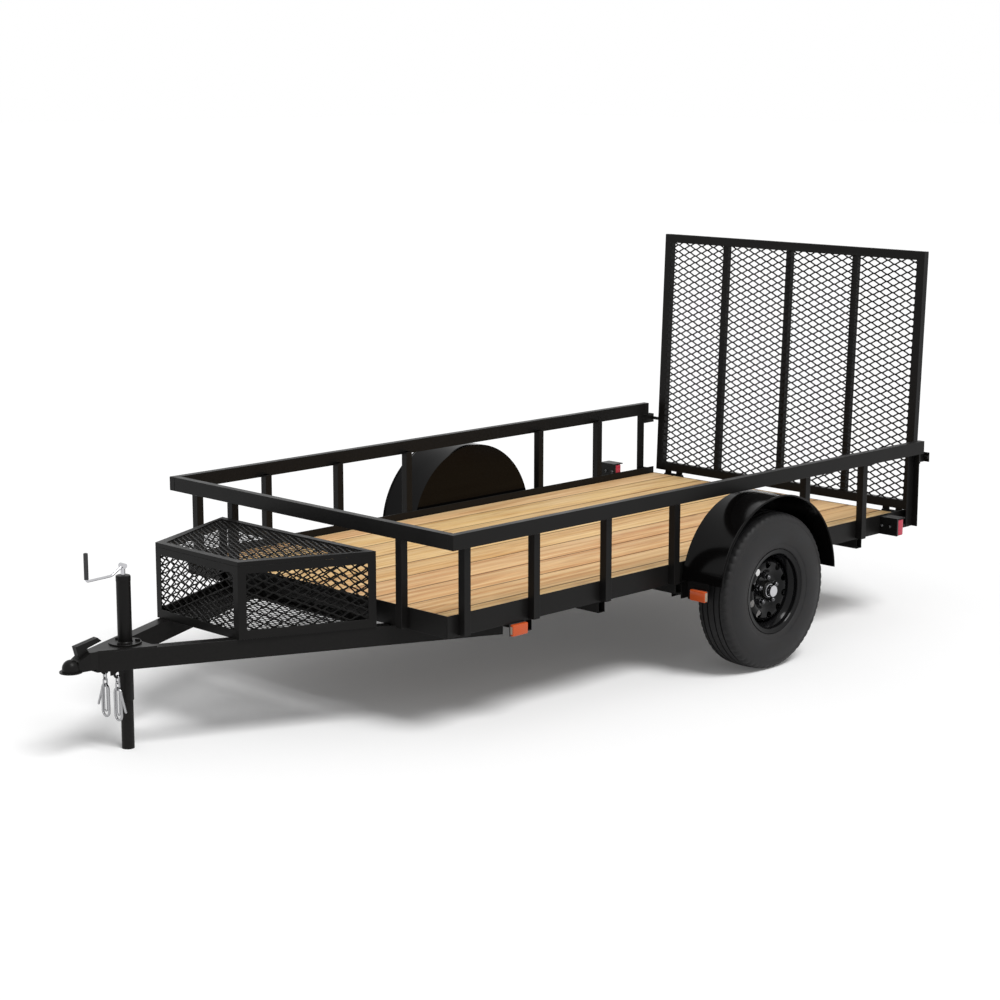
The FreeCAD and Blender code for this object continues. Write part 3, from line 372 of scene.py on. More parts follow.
grain_group, grain_in, grain_out = group_tree(
    "wood_grain", [("Board", "NodeSocketFloat", 0.0), ("Place", "NodeSocketVector", None)],
    ("Rings", "Fibres", "Streaks", "Knots"))
board_offset = math_node(grain_group, "MULTIPLY", grain_in.outputs["Board"], 7.3)
grain_shift = grain_group.nodes.new("ShaderNodeCombineXYZ")
grain_group.links.new(board_offset, grain_shift.inputs["X"])
grain_group.links.new(board_offset, grain_shift.inputs["Z"])
grain_place = grain_group.nodes.new("ShaderNodeVectorMath")
grain_place.operation = "ADD"
grain_group.links.new(grain_in.outputs["Place"], grain_place.inputs[0])
grain_group.links.new(grain_shift.outputs[0], grain_place.inputs[1])
along_board = grain_place.outputs[0]
rings = noise_node(grain_group, 2.2, 3.0, stretched(grain_group, along_board, (0.35, 9.0, 9.0)), 0.5)
rings.inputs["Distortion"].default_value = 0.6
bands = math_node(grain_group, "MULTIPLY", rings.outputs["Fac"], 9.0)
folded = math_node(grain_group, "PINGPONG", bands, 0.5)
fibres = noise_node(grain_group, 1.0, 4.0, stretched(grain_group, along_board, (3.0, 160.0, 160.0)), 0.6)
streaks = noise_node(grain_group, 1.3, 5.0, stretched(grain_group, along_board, (0.9, 26.0, 26.0)), 0.6)
knots = grain_group.nodes.new("ShaderNodeTexVoronoi")
knots.inputs["Scale"].default_value = 1.0
grain_group.links.new(stretched(grain_group, along_board, (1.6, 4.6, 4.6)), knots.inputs["Vector"])
for label, value in (("Rings", range_node(grain_group, folded, 0.0, 0.5, 0.0, 1.0)),
                     ("Fibres", fibres.outputs["Fac"]),
                     ("Streaks", range_node(grain_group, streaks.outputs["Fac"], 0.36, 0.64, 0.0, 1.0)),
                     ("Knots", range_node(grain_group, knots.outputs["Distance"], 0.03, 0.10, 1.0, 0.0))):
    grain_group.links.new(value, grain_out.inputs[label])


def ramp_node(tree, source, stops):
    """A value turned to colours at its stops."""
    node = tree.nodes.new("ShaderNodeValToRGB")
    elements = node.color_ramp.elements
    while len(elements) < len(stops):
        elements.new(0.5)
    for element, (place, colour) in zip(elements, stops):
        element.position = place
        element.color = (*colour, 1.0)
    tree.links.new(source, node.inputs["Fac"])
    return node.outputs["Color"]


late_colour = (0.34, 0.14, 0.04)
fibre_colour = (0.50, 0.27, 0.12)
streak_colour = (0.86, 0.66, 0.36)
knot_colour = (0.16, 0.06, 0.02)
seam_shade_colour = (0.10, 0.05, 0.025)
underside_shade_colour = (0.030, 0.029, 0.028)
deck_wood, wood, wood_shader = new_material("deck_wood")
wood_place = wood.nodes.new("ShaderNodeTexCoord").outputs["Object"]
wood_split = wood.nodes.new("ShaderNodeSeparateXYZ")
wood.links.new(wood_place, wood_split.inputs[0])
from_first = math_node(wood, "SUBTRACT", wood_split.outputs["Y"], first_seam)
in_boards = math_node(wood, "DIVIDE", from_first, board_pitch)
board_index = math_node(wood, "FLOOR", in_boards)
board_chance = wood.nodes.new("ShaderNodeTexWhiteNoise")
board_chance.noise_dimensions = "1D"
wood.links.new(board_index, board_chance.inputs["W"])
grain = wood.nodes.new("ShaderNodeGroup")
grain.node_tree = grain_group
wood.links.new(board_index, grain.inputs["Board"])
wood.links.new(wood_place, grain.inputs["Place"])
early_wood = ramp_node(wood, board_chance.outputs["Value"], [
    (0.0, (0.60, 0.29, 0.12)), (0.35, (0.64, 0.39, 0.14)), (0.65, (0.68, 0.45, 0.17)),
    (1.0, (0.61, 0.32, 0.16))])
late_wood = mix_node(wood, 0.70, early_wood, late_colour)
ringed = mix_node(wood, grain.outputs["Rings"], early_wood, late_wood)
fibre_amount = range_node(wood, grain.outputs["Fibres"], 0.35, 0.7, 0.0, 0.35)
fibred = mix_node(wood, fibre_amount, ringed, fibre_colour)
streak_amount = range_node(wood, grain.outputs["Streaks"], 0.0, 1.0, 0.0, 0.55)
streaked = mix_node(wood, streak_amount, fibred, streak_colour)
knotted = mix_node(wood, grain.outputs["Knots"], streaked, knot_colour)
# Each board is painted darker towards its long edges, as painted shade in the seams between boards.
from_seam = math_node(wood, "PINGPONG", math_node(wood, "FRACT", in_boards), 0.5)
seam_shade_share = range_node(wood, from_seam, 0.016, 0.040, 0.85, 0.0)
seamed = mix_node(wood, seam_shade_share, knotted, seam_shade_colour)
wood_facing = wood.nodes.new("ShaderNodeNewGeometry")
wood_tilt = wood.nodes.new("ShaderNodeSeparateXYZ")
wood.links.new(wood_facing.outputs["Normal"], wood_tilt.inputs[0])
# The downward faces are painted dark grey as painted shade under the deck, which also makes the floor's
# shadow beneath darker and less brown.
underside_shade = range_node(wood, wood_tilt.outputs["Z"], -0.9, -0.4, 0.9, 0.0)
wood.links.new(mix_node(wood, underside_shade, seamed, underside_shade_colour), wood_shader.inputs["Base Color"])
wood.links.new(range_node(wood, grain.outputs["Fibres"], 0.3, 0.7, 0.50, 0.66),
               wood_shader.inputs["Roughness"])
wood_shader.inputs["Specular IOR Level"].default_value = 0.2
relief_node(wood, wood_shader, grain.outputs["Fibres"], 0.35, 0.0008)
finished("deck_planks", planks, deck_wood, "chassis", replaced=("deck_boards",))


# Expanded metal: one steel sheet slit and drawn into diamonds, black coated. The strands stand at a
# slant and meet in short bonds. It fills the gate, the basket's walls and floor, and its lid.
# Each diamond is given by its long way, short way, strand, bond and the strand's lift.
gate_diamond = (0.0760, 0.0333, 0.0066, 0.0040, 0.0020)
wall_diamond = (0.0760, 0.0333, 0.0054, 0.0036, 0.0018)
level_diamond = (0.0508, 0.0234, 0.0074, 0.0030, 0.0016)
mesh_gauge = 0.0026


def expanded_metal(width, height, diamond_size):
    """A sheet of diamonds round the origin, long way along X, short way along Y, cut to its size."""
    long_way, short_way, strand, bond, lift = diamond_size
    sheet = bmesh.new()
    corners = [(long_way / 2 - bond, 0.0), (bond, short_way / 2), (-bond, short_way / 2),
               (bond - long_way / 2, 0.0), (-bond, -short_way / 2), (bond, -short_way / 2)]
    diamond = sheet.faces.new([sheet.verts.new((x, y, 0.0)) for x, y in corners])
    diamond.normal_update()
    bmesh.ops.inset_individual(sheet, faces=[diamond], thickness=strand / 2, use_even_offset=True)
    for vert in diamond.verts:
        vert.co.z = math.copysign(lift, vert.co.y) if abs(vert.co.y) > lift else 0.0
    bmesh.ops.delete(sheet, geom=[diamond], context="FACES")
    columns = math.ceil(width / long_way) + 1
    rows = math.ceil(height / short_way) + 1
    for count, step in ((2, Vector((long_way / 2, short_way / 2, 0.0))),
                        (columns, Vector((long_way, 0.0, 0.0))), (rows, Vector((0.0, short_way, 0.0)))):
        source = sheet.verts[:] + sheet.edges[:] + sheet.faces[:]
        for index in range(1, count):
            copy = bmesh.ops.duplicate(sheet, geom=source)["geom"]
            moved = [item for item in copy if isinstance(item, bmesh.types.BMVert)]
            bmesh.ops.translate(sheet, verts=moved, vec=step * index)
    middle = Vector(((columns - 0.5) * long_way, (rows - 0.5) * short_way, 0.0)) / 2
    bmesh.ops.translate(sheet, verts=sheet.verts[:], vec=-middle)
    bmesh.ops.remove_doubles(sheet, verts=sheet.verts[:], dist=0.00002)
    for x, y in ((width, 0.0), (-width, 0.0), (0.0, height), (0.0, -height)):
        cut_off(sheet, (x / 2, y / 2, 0.0), Vector((x, y, 0.0)).normalized())
    return sheet


def mesh_piece(name, sheet, body, replaced):
    """Gives a drawn sheet its gauge and hangs it on its body."""
    piece = finished(name, sheet, black_coat, body, replaced=replaced, solid=False)
    gauge = piece.modifiers.new("gauge", "SOLIDIFY")
    gauge.thickness = mesh_gauge
    gauge.offset = 0.0


def add_part(shape, part):
    """Moves the faces of one bmesh into another."""
    mesh = bpy.data.meshes.new("part")
    part.to_mesh(mesh)
    part.free()
    shape.from_mesh(mesh)
    bpy.data.meshes.remove(mesh)


gate_lean = Matrix.Rotation(math.radians(-2.33), 4, "Y")
hinge_line = Vector((-0.0275 - 2.0665385, 0.0, 0.450))
gate_opening = (1.518, 1.152)
gate_middle = Vector((0.016, 0.0, 0.638))
stood_up = Matrix(((0.0, 0.0, 1.0, 0.0), (1.0, 0.0, 0.0, 0.0), (0.0, 1.0, 0.0, 0.0), (0.0, 0.0, 0.0, 1.0)))
gate_sheet = expanded_metal(*gate_opening, gate_diamond)
gate_sheet.transform(Matrix.Translation(hinge_line) @ gate_lean @ Matrix.Translation(gate_middle) @ stood_up)
mesh_piece("gate_expanded_metal", gate_sheet, "gate", ("gate_mesh",))

up = Vector((0.0, 0.0, 1.0))
wall_stand = 0.002
floor_stand = 0.003
basket_low, basket_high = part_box("basket_mesh")
basket_middle = (basket_low + basket_high) / 2
basket_size = basket_high - basket_low
basket_front_half = 0.253
basket_corners = [Vector((x, y, 0.0)) for x, y in (
    (basket_low.x, basket_high.y), (basket_high.x, basket_front_half),
    (basket_high.x, -basket_front_half), (basket_low.x, -basket_high.y))]
basket_walls = list(zip(basket_corners, basket_corners[1:] + basket_corners[:1]))
basket_shape = bmesh.new()
for start, end in basket_walls:
    panel = expanded_metal((end - start).length, basket_size.z, wall_diamond)
    along = (end - start).normalized()
    out = along.cross(up)
    turn = Matrix((along, up, out)).transposed().to_4x4()
    panel.transform(Matrix.Translation((start + end) / 2 + up * basket_middle.z + out * wall_stand) @ turn)
    add_part(basket_shape, panel)


def level_panel(height):
    """A level sheet cut to the basket's four-sided plan at a height."""
    panel = expanded_metal(2 * basket_high.y, basket_size.x, level_diamond)
    panel.transform(Matrix(((0.0, 1.0, 0.0, basket_middle.x), (1.0, 0.0, 0.0, 0.0), (0.0, 0.0, -1.0, height),
                            (0.0, 0.0, 0.0, 1.0))))
    for start, end in basket_walls:
        cut_off(panel, start + up * height, (end - start).cross(-up))
    return panel


add_part(basket_shape, level_panel(basket_low.z + floor_stand))
mesh_piece("basket_expanded_metal", basket_shape, "chassis", ("basket_mesh",))
lid_low, lid_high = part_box("lid_mesh")
mesh_piece("lid_expanded_metal", level_panel((lid_low.z + lid_high.z) / 2), "lid", ("lid_mesh",))


# The tyres: black trailer tyres with five straight ribs, small notches in the shoulders, and raised
# rings on the sidewalls. The rubber is matt and a little dusty, and the tread is painted darker as painted
# shade.
def wheel_place(side_name):
    """Sets a piece made round the origin in its wheel, with its +Y side outwards."""
    low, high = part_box("tyre_" + side_name)
    return Matrix.Translation((low + high) / 2) @ Matrix.Diagonal((1.0, sides[side_name], 1.0, 1.0))


def spun(points, steps, closed=True):
    """A ring from (across, radius) pairs turned about the axle's line, its section closed or open."""
    shape = bmesh.new()
    line = [shape.verts.new((0.0, across, radius)) for across, radius in points]
    edges = [shape.edges.new(pair) for pair in zip(line, line[1:] + (line[:1] if closed else []))]
    bmesh.ops.spin(shape, geom=line + edges, cent=(0.0, 0.0, 0.0), axis=(0.0, 1.0, 0.0),
                   dvec=(0.0, 0.0, 0.0), angle=math.tau, steps=steps, use_merge=True)
    bmesh.ops.remove_doubles(shape, verts=shape.verts[:], dist=0.000005)
    bmesh.ops.recalc_face_normals(shape, faces=shape.faces[:])
    return shape


axle = wheel_place("left").translation
rubber, rubber_tree, rubber_shader = new_material("tyre_rubber")
rubber_patches = noise_node(rubber_tree, 18.0, 6.0).outputs["Fac"]
rubber_colour = ramp_node(rubber_tree, rubber_patches, [
    (0.3, (0.011, 0.011, 0.012)), (0.7, (0.019, 0.018, 0.018))])
rubber_place = rubber_tree.nodes.new("ShaderNodeTexCoord").outputs["Object"]
axle_distance = rubber_tree.nodes.new("ShaderNodeVectorMath")
axle_distance.operation = "LENGTH"
rubber_tree.links.new(stretched(rubber_tree, rubber_place, (1.0, 0.0, 1.0), (-axle.x, 0.0, -axle.z)),
                      axle_distance.inputs[0])
# Beyond a radius of about 0.33 m the rubber is painted darker, as painted shade on the tread.
tread_shade_share = range_node(rubber_tree, axle_distance.outputs["Value"], 0.322, 0.336, 0.0, 0.75)
rubber_tree.links.new(mix_node(rubber_tree, tread_shade_share, rubber_colour, (0.0045, 0.0045, 0.0048)),
                      rubber_shader.inputs["Base Color"])
rubber_tree.links.new(range_node(rubber_tree, rubber_patches, 0.3, 0.7, 0.50, 0.68),
                      rubber_shader.inputs["Roughness"])
rubber_shader.inputs["Specular IOR Level"].default_value = 0.24
relief_node(rubber_tree, rubber_shader, noise_node(rubber_tree, 700.0, 2.0).outputs["Fac"], 0.2, 0.0005)

tyre_steps = 240
notch_every = 4
notch_depth = 0.004
notch_span = (0.055, 0.079)
notch_radius = 0.322
groove_depth = 0.008
groove_slope = 0.001
groove_places = (0.017, 0.045)
groove_half = 0.0035
tyre_radius = 0.340
half_line = [(0.0, tyre_radius)]
for place in groove_places:
    crown = tyre_radius - place * place
    half_line += [(place - groove_half, crown), (place - groove_half + groove_slope, crown - groove_depth),
                  (place + groove_half - groove_slope, crown - groove_depth), (place + groove_half, crown)]
half_line += [(0.0585, 0.3366), (0.0650, 0.3350), (0.0700, 0.3324), (0.0745, 0.3282), (0.0780, 0.3228),
              (0.0802, 0.3170), (0.0818, 0.3115), (0.0812, 0.3105), (0.0826, 0.3060), (0.0820, 0.3050),
              (0.0834, 0.2995), (0.0852, 0.2930), (0.0874, 0.2810), (0.0890, 0.2680), (0.0898, 0.2560),
              (0.0900, 0.2440), (0.0893, 0.2320), (0.0876, 0.2200), (0.0852, 0.2100), (0.0845, 0.2085),
              (0.0838, 0.2090), (0.0812, 0.1985), (0.0790, 0.1915), (0.0776, 0.1885), (0.0750, 0.1860),
              (0.0700, 0.1848), (0.0686, 0.1800), (0.0686, 0.1665), (0.0530, 0.1665)]
tyre_line = [(-across, radius) for across, radius in reversed(half_line[1:])] + half_line
for side_name in sides:
    tyre_shape = spun(tyre_line, tyre_steps, closed=False)
    for vert in tyre_shape.verts:
        reach = math.hypot(vert.co.x, vert.co.z)
        number = round(math.atan2(vert.co.x, vert.co.z) / math.tau * tyre_steps)
        in_shoulder = notch_span[0] < abs(vert.co.y) < notch_span[1] and reach > notch_radius
        if in_shoulder and number % notch_every == 0:
            scale = (reach - notch_depth) / reach
            vert.co.x *= scale
            vert.co.z *= scale
    tyre_shape.transform(Matrix.Translation(wheel_place(side_name).translation))
    finished("tyre_tread_" + side_name, tyre_shape, rubber, "wheel_" + side_name, 30.0,
             ("tyre_" + side_name,))


# The wheels: black steel discs pressed into rolled rims, with ten round holes near the edge. The disc
# is welded into the rim's barrel, and both are coated together.
def object_of(name, shape):
    """A plain object from a bmesh, for cutting with."""
    mesh = bpy.data.meshes.new(name)
    shape.to_mesh(mesh)
    shape.free()
    made = bpy.data.objects.new(name, mesh)
    bpy.context.scene.collection.objects.link(made)
    return made


def cut_from(shape, cutters):
    """The shape less the cutters, as a new bmesh."""
    body = object_of("cut_body", shape)
    tool = object_of("cut_tool", cutters)
    cut = body.modifiers.new("cut", "BOOLEAN")
    cut.object = tool
    cut.solver = "EXACT"
    result = bpy.data.meshes.new_from_object(body.evaluated_get(bpy.context.evaluated_depsgraph_get()))
    made = bmesh.new()
    made.from_mesh(result)
    for spare in (body, tool):
        bpy.data.objects.remove(spare)
    bpy.data.meshes.remove(result)
    return made


wheel_coat = coated_steel("wheel_black", (0.0035, 0.0035, 0.0040), (0.012, 0.011, 0.010),
                          (0.12, 0.20), 0.14, 0.03)
wheel_steps = 96
vent_count = 10
vent_radius = 0.0165
vent_circle = 0.112
vent_turn = 0.1
disc_gauge = 0.004
rim_outside = [(0.0760, 0.1820), (0.0752, 0.1832), (0.0738, 0.1836), (0.0722, 0.1830), (0.0705, 0.1800),
               (0.0695, 0.1750), (0.0690, 0.1680), (0.0670, 0.1660), (0.0530, 0.1660), (0.0500, 0.1650),
               (0.0330, 0.1485), (0.0300, 0.1480)]
rim_inside = [(0.0300, 0.1440), (0.0330, 0.1445), (0.0500, 0.1605), (0.0530, 0.1620), (0.0690, 0.1622),
              (0.0725, 0.1650), (0.0735, 0.1740), (0.0755, 0.1790)]
disc_face = [(-0.004, 0.1440), (0.006, 0.1425), (0.024, 0.1360), (0.034, 0.1290), (0.0395, 0.1200),
             (0.0410, 0.1120), (0.0400, 0.1030), (0.0370, 0.0950), (0.0300, 0.0800), (0.0262, 0.0755),
             (0.0240, 0.0700), (0.0240, 0.0420)]
disc_back = [(across - disc_gauge, radius - 0.0015) for across, radius in reversed(disc_face)]
for side_name in sides:
    barrel = spun(rim_outside + [(-across, radius) for across, radius in reversed(rim_outside)] +
                  [(-across, radius) for across, radius in reversed(rim_inside)] + rim_inside, wheel_steps)
    vents = bmesh.new()
    for index in range(vent_count):
        angle = math.tau * (index + vent_turn) / vent_count
        place = Vector((vent_circle * math.sin(angle), 0.0, vent_circle * math.cos(angle)))
        bmesh.ops.create_cone(vents, cap_ends=True, segments=24, radius1=vent_radius, radius2=vent_radius,
                              depth=0.2, matrix=Matrix.Translation(place) @
                              Matrix.Rotation(math.radians(90.0), 4, "X"))
    add_part(barrel, cut_from(spun(disc_face + disc_back, wheel_steps), vents))
    barrel.transform(wheel_place(side_name))
    finished("rim_pressed_" + side_name, barrel, wheel_coat, "wheel_" + side_name,
             replaced=("rim_" + side_name,))


# The hubs: cast and turned, black, each with five dark hexagon nuts on the wheel's disc and a bright
# pressed cap over the outer bearing.
def plain_material(name, colour, metallic, roughness):
    """A plain surface whose gloss varies a little from place to place."""
    material, tree, shader = new_material(name)
    patches = noise_node(tree, 60.0, 4.0).outputs["Fac"]
    darker = tuple(part * 0.82 for part in colour)
    tree.links.new(mix_node(tree, patches, colour, darker), shader.inputs["Base Color"])
    tree.links.new(range_node(tree, patches, 0.3, 0.7, roughness * 0.8, roughness * 1.25),
                   shader.inputs["Roughness"])
    shader.inputs["Metallic"].default_value = metallic
    return material


def hex_nut(shape, place, radius, height):
    """A hexagon nut with a turned seat below and a rounded end."""
    for sides_round, low, high, lower, upper in ((24, 0.0, 0.16, 1.08, 1.08), (6, 0.16, 0.80, 1.0, 1.0),
                                                 (24, 0.80, 1.0, 0.82, 0.55)):
        level = Matrix.Translation((0.0, 0.0, height * (low + high) / 2))
        bmesh.ops.create_cone(shape, cap_ends=True, segments=sides_round, radius1=radius * lower,
                              radius2=radius * upper, depth=height * (high - low), matrix=place @ level)


zinc_plate = plain_material("zinc_plate", (0.40, 0.40, 0.41), 1.0, 0.24)
bright_cap = plain_material("bright_cap", (0.58, 0.58, 0.60), 1.0, 0.12)
dark_nut = plain_material("dark_nut", (0.11, 0.11, 0.115), 1.0, 0.20)
lug_circle = 0.05715
lug_seat = 0.024
lug_count = 5
lug_size = (0.0118, 0.022)
hub_line = [(-0.042, 0.0205), (-0.042, 0.0360), (-0.040, 0.0380), (0.0060, 0.0380), (0.0085, 0.0400),
            (0.0090, 0.0700), (0.0105, 0.0720), (0.0190, 0.0720), (0.0200, 0.0710), (0.0200, 0.0400),
            (0.0215, 0.0375), (0.0400, 0.0360), (0.0420, 0.0340), (0.0420, 0.0205)]
cap_line = [(0.0400, 0.0), (0.0400, 0.0258), (0.0455, 0.0262), (0.0462, 0.0282), (0.0480, 0.0282),
            (0.0488, 0.0262), (0.0640, 0.0256), (0.0690, 0.0246), (0.0712, 0.0222), (0.0720, 0.0190),
            (0.0722, 0.0100), (0.0722, 0.0)]
for side_name in sides:
    body = "wheel_" + side_name
    hub_shape = spun(hub_line, 64)
    hub_shape.transform(wheel_place(side_name))
    finished("hub_turned_" + side_name, hub_shape, black_coat, body,
             replaced=("hub_" + side_name,))
    cap_shape = spun(cap_line, 64)
    cap_shape.transform(wheel_place(side_name))
    finished("hub_cap_" + side_name, cap_shape, bright_cap, body)
    nut_shape = bmesh.new()
    for index in range(lug_count):
        angle = math.tau * index / lug_count
        place = Vector((lug_circle * math.sin(angle), lug_seat, lug_circle * math.cos(angle)))
        hex_nut(nut_shape, Matrix.Translation(place) @ Matrix.Rotation(math.radians(-90.0), 4, "X"),
                *lug_size)
    round_edges(nut_shape, nut_shape.edges[:], 0.0006)
    nut_shape.transform(wheel_place(side_name))
    finished("wheel_nuts_" + side_name, nut_shape, dark_nut, body, 30.0)


# The fenders: sheet steel rolled over each wheel, black coated, its outer edge curled to a bead. A flat
# panel closes the inside, welded to the side angle on a flat spacer bar, and a tab at the front foot
# carries a lamp.
fender_coat = coated_steel("black_fender_coat", (0.0022, 0.0020, 0.0020), (0.0060, 0.0052, 0.0048),
                           (0.10, 0.18), 0.09, 0.03)
fender_centre_z = 0.368
fender_radius = 0.387
fender_rear = math.radians(3.5)
fender_front = math.radians(8.0)
fender_inner = 0.824
fender_steps = 96
panel_rise = 0.100
panel_radius = 0.3845
panel_gauge = 0.0025
panel_steps = 48
fender_section = [(0.8240, 0.3842), (0.8240, 0.3870), (1.0300, 0.3870), (1.0322, 0.3876), (1.0338, 0.3890),
                  (1.0348, 0.3908), (1.0366, 0.3924), (1.0396, 0.3930), (1.0426, 0.3922), (1.0444, 0.3900),
                  (1.0444, 0.3874), (1.0426, 0.3852), (1.0396, 0.3842), (1.0350, 0.3840)]
for side_name, side in sides.items():
    fender_shape = bmesh.new()
    loop = [fender_shape.verts.new((-radius * math.cos(fender_rear), across, radius * math.sin(fender_rear)))
            for across, radius in fender_section]
    edges = [fender_shape.edges.new(pair) for pair in zip(loop, loop[1:] + loop[:1])]
    bmesh.ops.spin(fender_shape, geom=loop + edges, cent=(0.0, 0.0, 0.0), axis=(0.0, 1.0, 0.0),
                   dvec=(0.0, 0.0, 0.0), angle=math.pi - fender_rear - fender_front, steps=fender_steps)
    bmesh.ops.holes_fill(fender_shape, edges=fender_shape.edges[:], sides=0)
    low_angle = math.asin(panel_rise / panel_radius)
    panel_points = []
    for index in range(panel_steps + 1):
        angle = low_angle + (math.pi - 2 * low_angle) * index / panel_steps
        panel_points.append(fender_shape.verts.new((panel_radius * math.cos(angle), fender_inner,
                                                    panel_radius * math.sin(angle))))
    panel = fender_shape.faces.new(panel_points)
    thick = bmesh.ops.extrude_face_region(fender_shape, geom=[panel])["geom"]
    bmesh.ops.translate(fender_shape, verts=[item for item in thick if isinstance(item, bmesh.types.BMVert)],
                        vec=(0.0, panel_gauge, 0.0))
    block(fender_shape, Vector((0.0, 0.8140, panel_rise - 0.0320)), Vector((0.680, 0.0198, 0.040)))
    foot_x = fender_radius * math.cos(fender_front)
    foot_z = fender_radius * math.sin(fender_front)
    block(fender_shape, Vector((foot_x - 0.0015, 0.9135, foot_z - 0.0365)), Vector((0.003, 0.111, 0.079)))
    fender_shape.transform(Matrix.Translation((axle.x, 0.0, fender_centre_z)) @
                           Matrix.Diagonal((1.0, side, 1.0, 1.0)))
    finished("fender_rolled_" + side_name, fender_shape, fender_coat, "chassis",
             replaced=("fender_" + side_name,))


# The jack: a black round tube through the coupler's plate, capped at the top and bolted by its round
# flange. A bright bent crank with a black grip turns its screw.
def round_bar(shape, points, radius, round_steps=12, closed=False):
    """A round bar along a line of points, its ends closed unless it joins itself."""
    loops = []
    turn = None
    last = len(points) - 1
    for index, point in enumerate(points):
        before = points[index - 1] if closed or index else point
        after = points[(index + 1) % len(points)] if closed or index < last else point
        along = (after - before).normalized()
        if turn is None:
            turn = along.to_track_quat("Z", "Y")
        else:
            turn = (turn @ up).rotation_difference(along) @ turn
        place = Matrix.Translation(point) @ turn.to_matrix().to_4x4()
        ring = bmesh.ops.create_circle(shape, cap_ends=not closed and index in (0, last), radius=radius,
                                       segments=round_steps, matrix=place)["verts"]
        loops.append(list(dict.fromkeys(edge for vert in ring for edge in vert.link_edges)))
    for first, second in zip(loops, loops[1:] + (loops[:1] if closed else [])):
        bmesh.ops.bridge_loops(shape, edges=first + second)


def bent(points, bend, steps=6):
    """A line of points with each inner corner rounded off."""
    line = [points[0]]
    for before, corner, after in zip(points, points[1:], points[2:]):
        start = corner + (before - corner).normalized() * bend
        end = corner + (after - corner).normalized() * bend
        for index in range(steps + 1):
            share = index / steps
            line.append(start * (1 - share) ** 2 + corner * 2 * share * (1 - share) + end * share ** 2)
    return line + [points[-1]]


spun_upright = Matrix.Rotation(math.radians(90.0), 4, "X")
jack_low, jack_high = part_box("jack_tube")
jack_x = (jack_low.x + jack_high.x) / 2
jack_shape = spun([(0.1890, 0.0246), (0.1890, 0.0268), (0.1900, 0.0275), (0.6500, 0.0275), (0.6508, 0.0282),
                   (0.6680, 0.0282), (0.6708, 0.0272), (0.6720, 0.0245), (0.6720, 0.0), (0.6690, 0.0),
                   (0.6690, 0.0246)], 48)
add_part(jack_shape, spun([(0.4100, 0.0278), (0.4100, 0.0618), (0.4108, 0.0625), (0.4152, 0.0625),
                           (0.4160, 0.0618), (0.4160, 0.0300), (0.4190, 0.0278)], 64))
jack_shape.transform(Matrix.Translation((jack_x, 0.0, 0.0)) @ spun_upright)
finished("jack_outer", jack_shape, black_coat, "chassis", replaced=("jack_tube",))

bolt_circle = 0.047
bolt_seat = 0.416
flange_bolts = bmesh.new()
for index in range(3):
    angle = math.tau * (index + 0.25) / 3
    hex_nut(flange_bolts, Matrix.Translation((jack_x + bolt_circle * math.cos(angle),
                                              bolt_circle * math.sin(angle), bolt_seat)), 0.0098, 0.0085)
finished("jack_flange_bolts", flange_bolts, black_coat, "chassis", 30.0)

crank_top = Vector((jack_x, 0.0, 0.708))
crank_half_pin = Vector((0.0, 0.015, 0.0))
grip_x = jack_x + 0.164
crank_shape = bmesh.new()
round_bar(crank_shape, [Vector((jack_x, 0.0, 0.6715)), Vector((jack_x, 0.0, 0.7020))], 0.0088, 24)
round_bar(crank_shape, [crank_top - crank_half_pin, crank_top + crank_half_pin], 0.0098, 24)
round_bar(crank_shape, bent([crank_top, Vector((jack_x + 0.052, 0.0, 0.677)), Vector((grip_x, 0.0, 0.673)),
                             Vector((grip_x, 0.0, 0.700))], 0.009), 0.005, 16)
finished("crank_arm", crank_shape, bright_cap, "chassis", replaced=("jack_crank",))
black_plastic = plain_material("black_plastic", (0.012, 0.012, 0.013), 0.0, 0.34)
grip_shape = spun([(0.6800, 0.0), (0.6800, 0.0072), (0.6815, 0.0086), (0.6860, 0.0086), (0.6865, 0.0078),
                   (0.6880, 0.0078), (0.6885, 0.0086), (0.7775, 0.0086), (0.7800, 0.0076), (0.7810, 0.0050),
                   (0.7810, 0.0)], 32)
grip_shape.transform(Matrix.Translation((grip_x, 0.0, 0.0)) @ spun_upright)
finished("crank_grip", grip_shape, black_plastic, "chassis")


# The safety chains: bright zinc-plated welded links hung from a tab on each tongue leg, ending in a
# long snap hook whose spring bar stands a little open.
chain_x = 4.008 - 2.0665385
chain_y = 0.040
chain_top = 0.30735
link_wire = 0.0032
link_length = 0.038
link_width = 0.022
link_drop = 0.0249
hook_top = chain_top - 2 * link_drop + 0.0026
bar_wire = 0.0045
bar_length = 0.074
bar_swing = math.radians(22.0)


def oval(top, length, width, wire, turn):
    """The middle line of an upright oval link that hangs from a height, turned about Z."""
    half = width / 2 - wire
    run = length / 2 - wire - half
    line = []
    for index in range(20):
        angle = math.tau * index / 20
        rise = run if math.sin(angle) >= 0.0 else -run
        line.append(Vector((0.0, half * math.cos(angle), rise + half * math.sin(angle))))
    line.insert(11, Vector((0.0, -half, -run)))
    line.append(Vector((0.0, half, -run)))
    spin = Matrix.Rotation(math.radians(turn), 3, "Z")
    return [spin @ point + Vector((0.0, 0.0, top - length / 2)) for point in line]


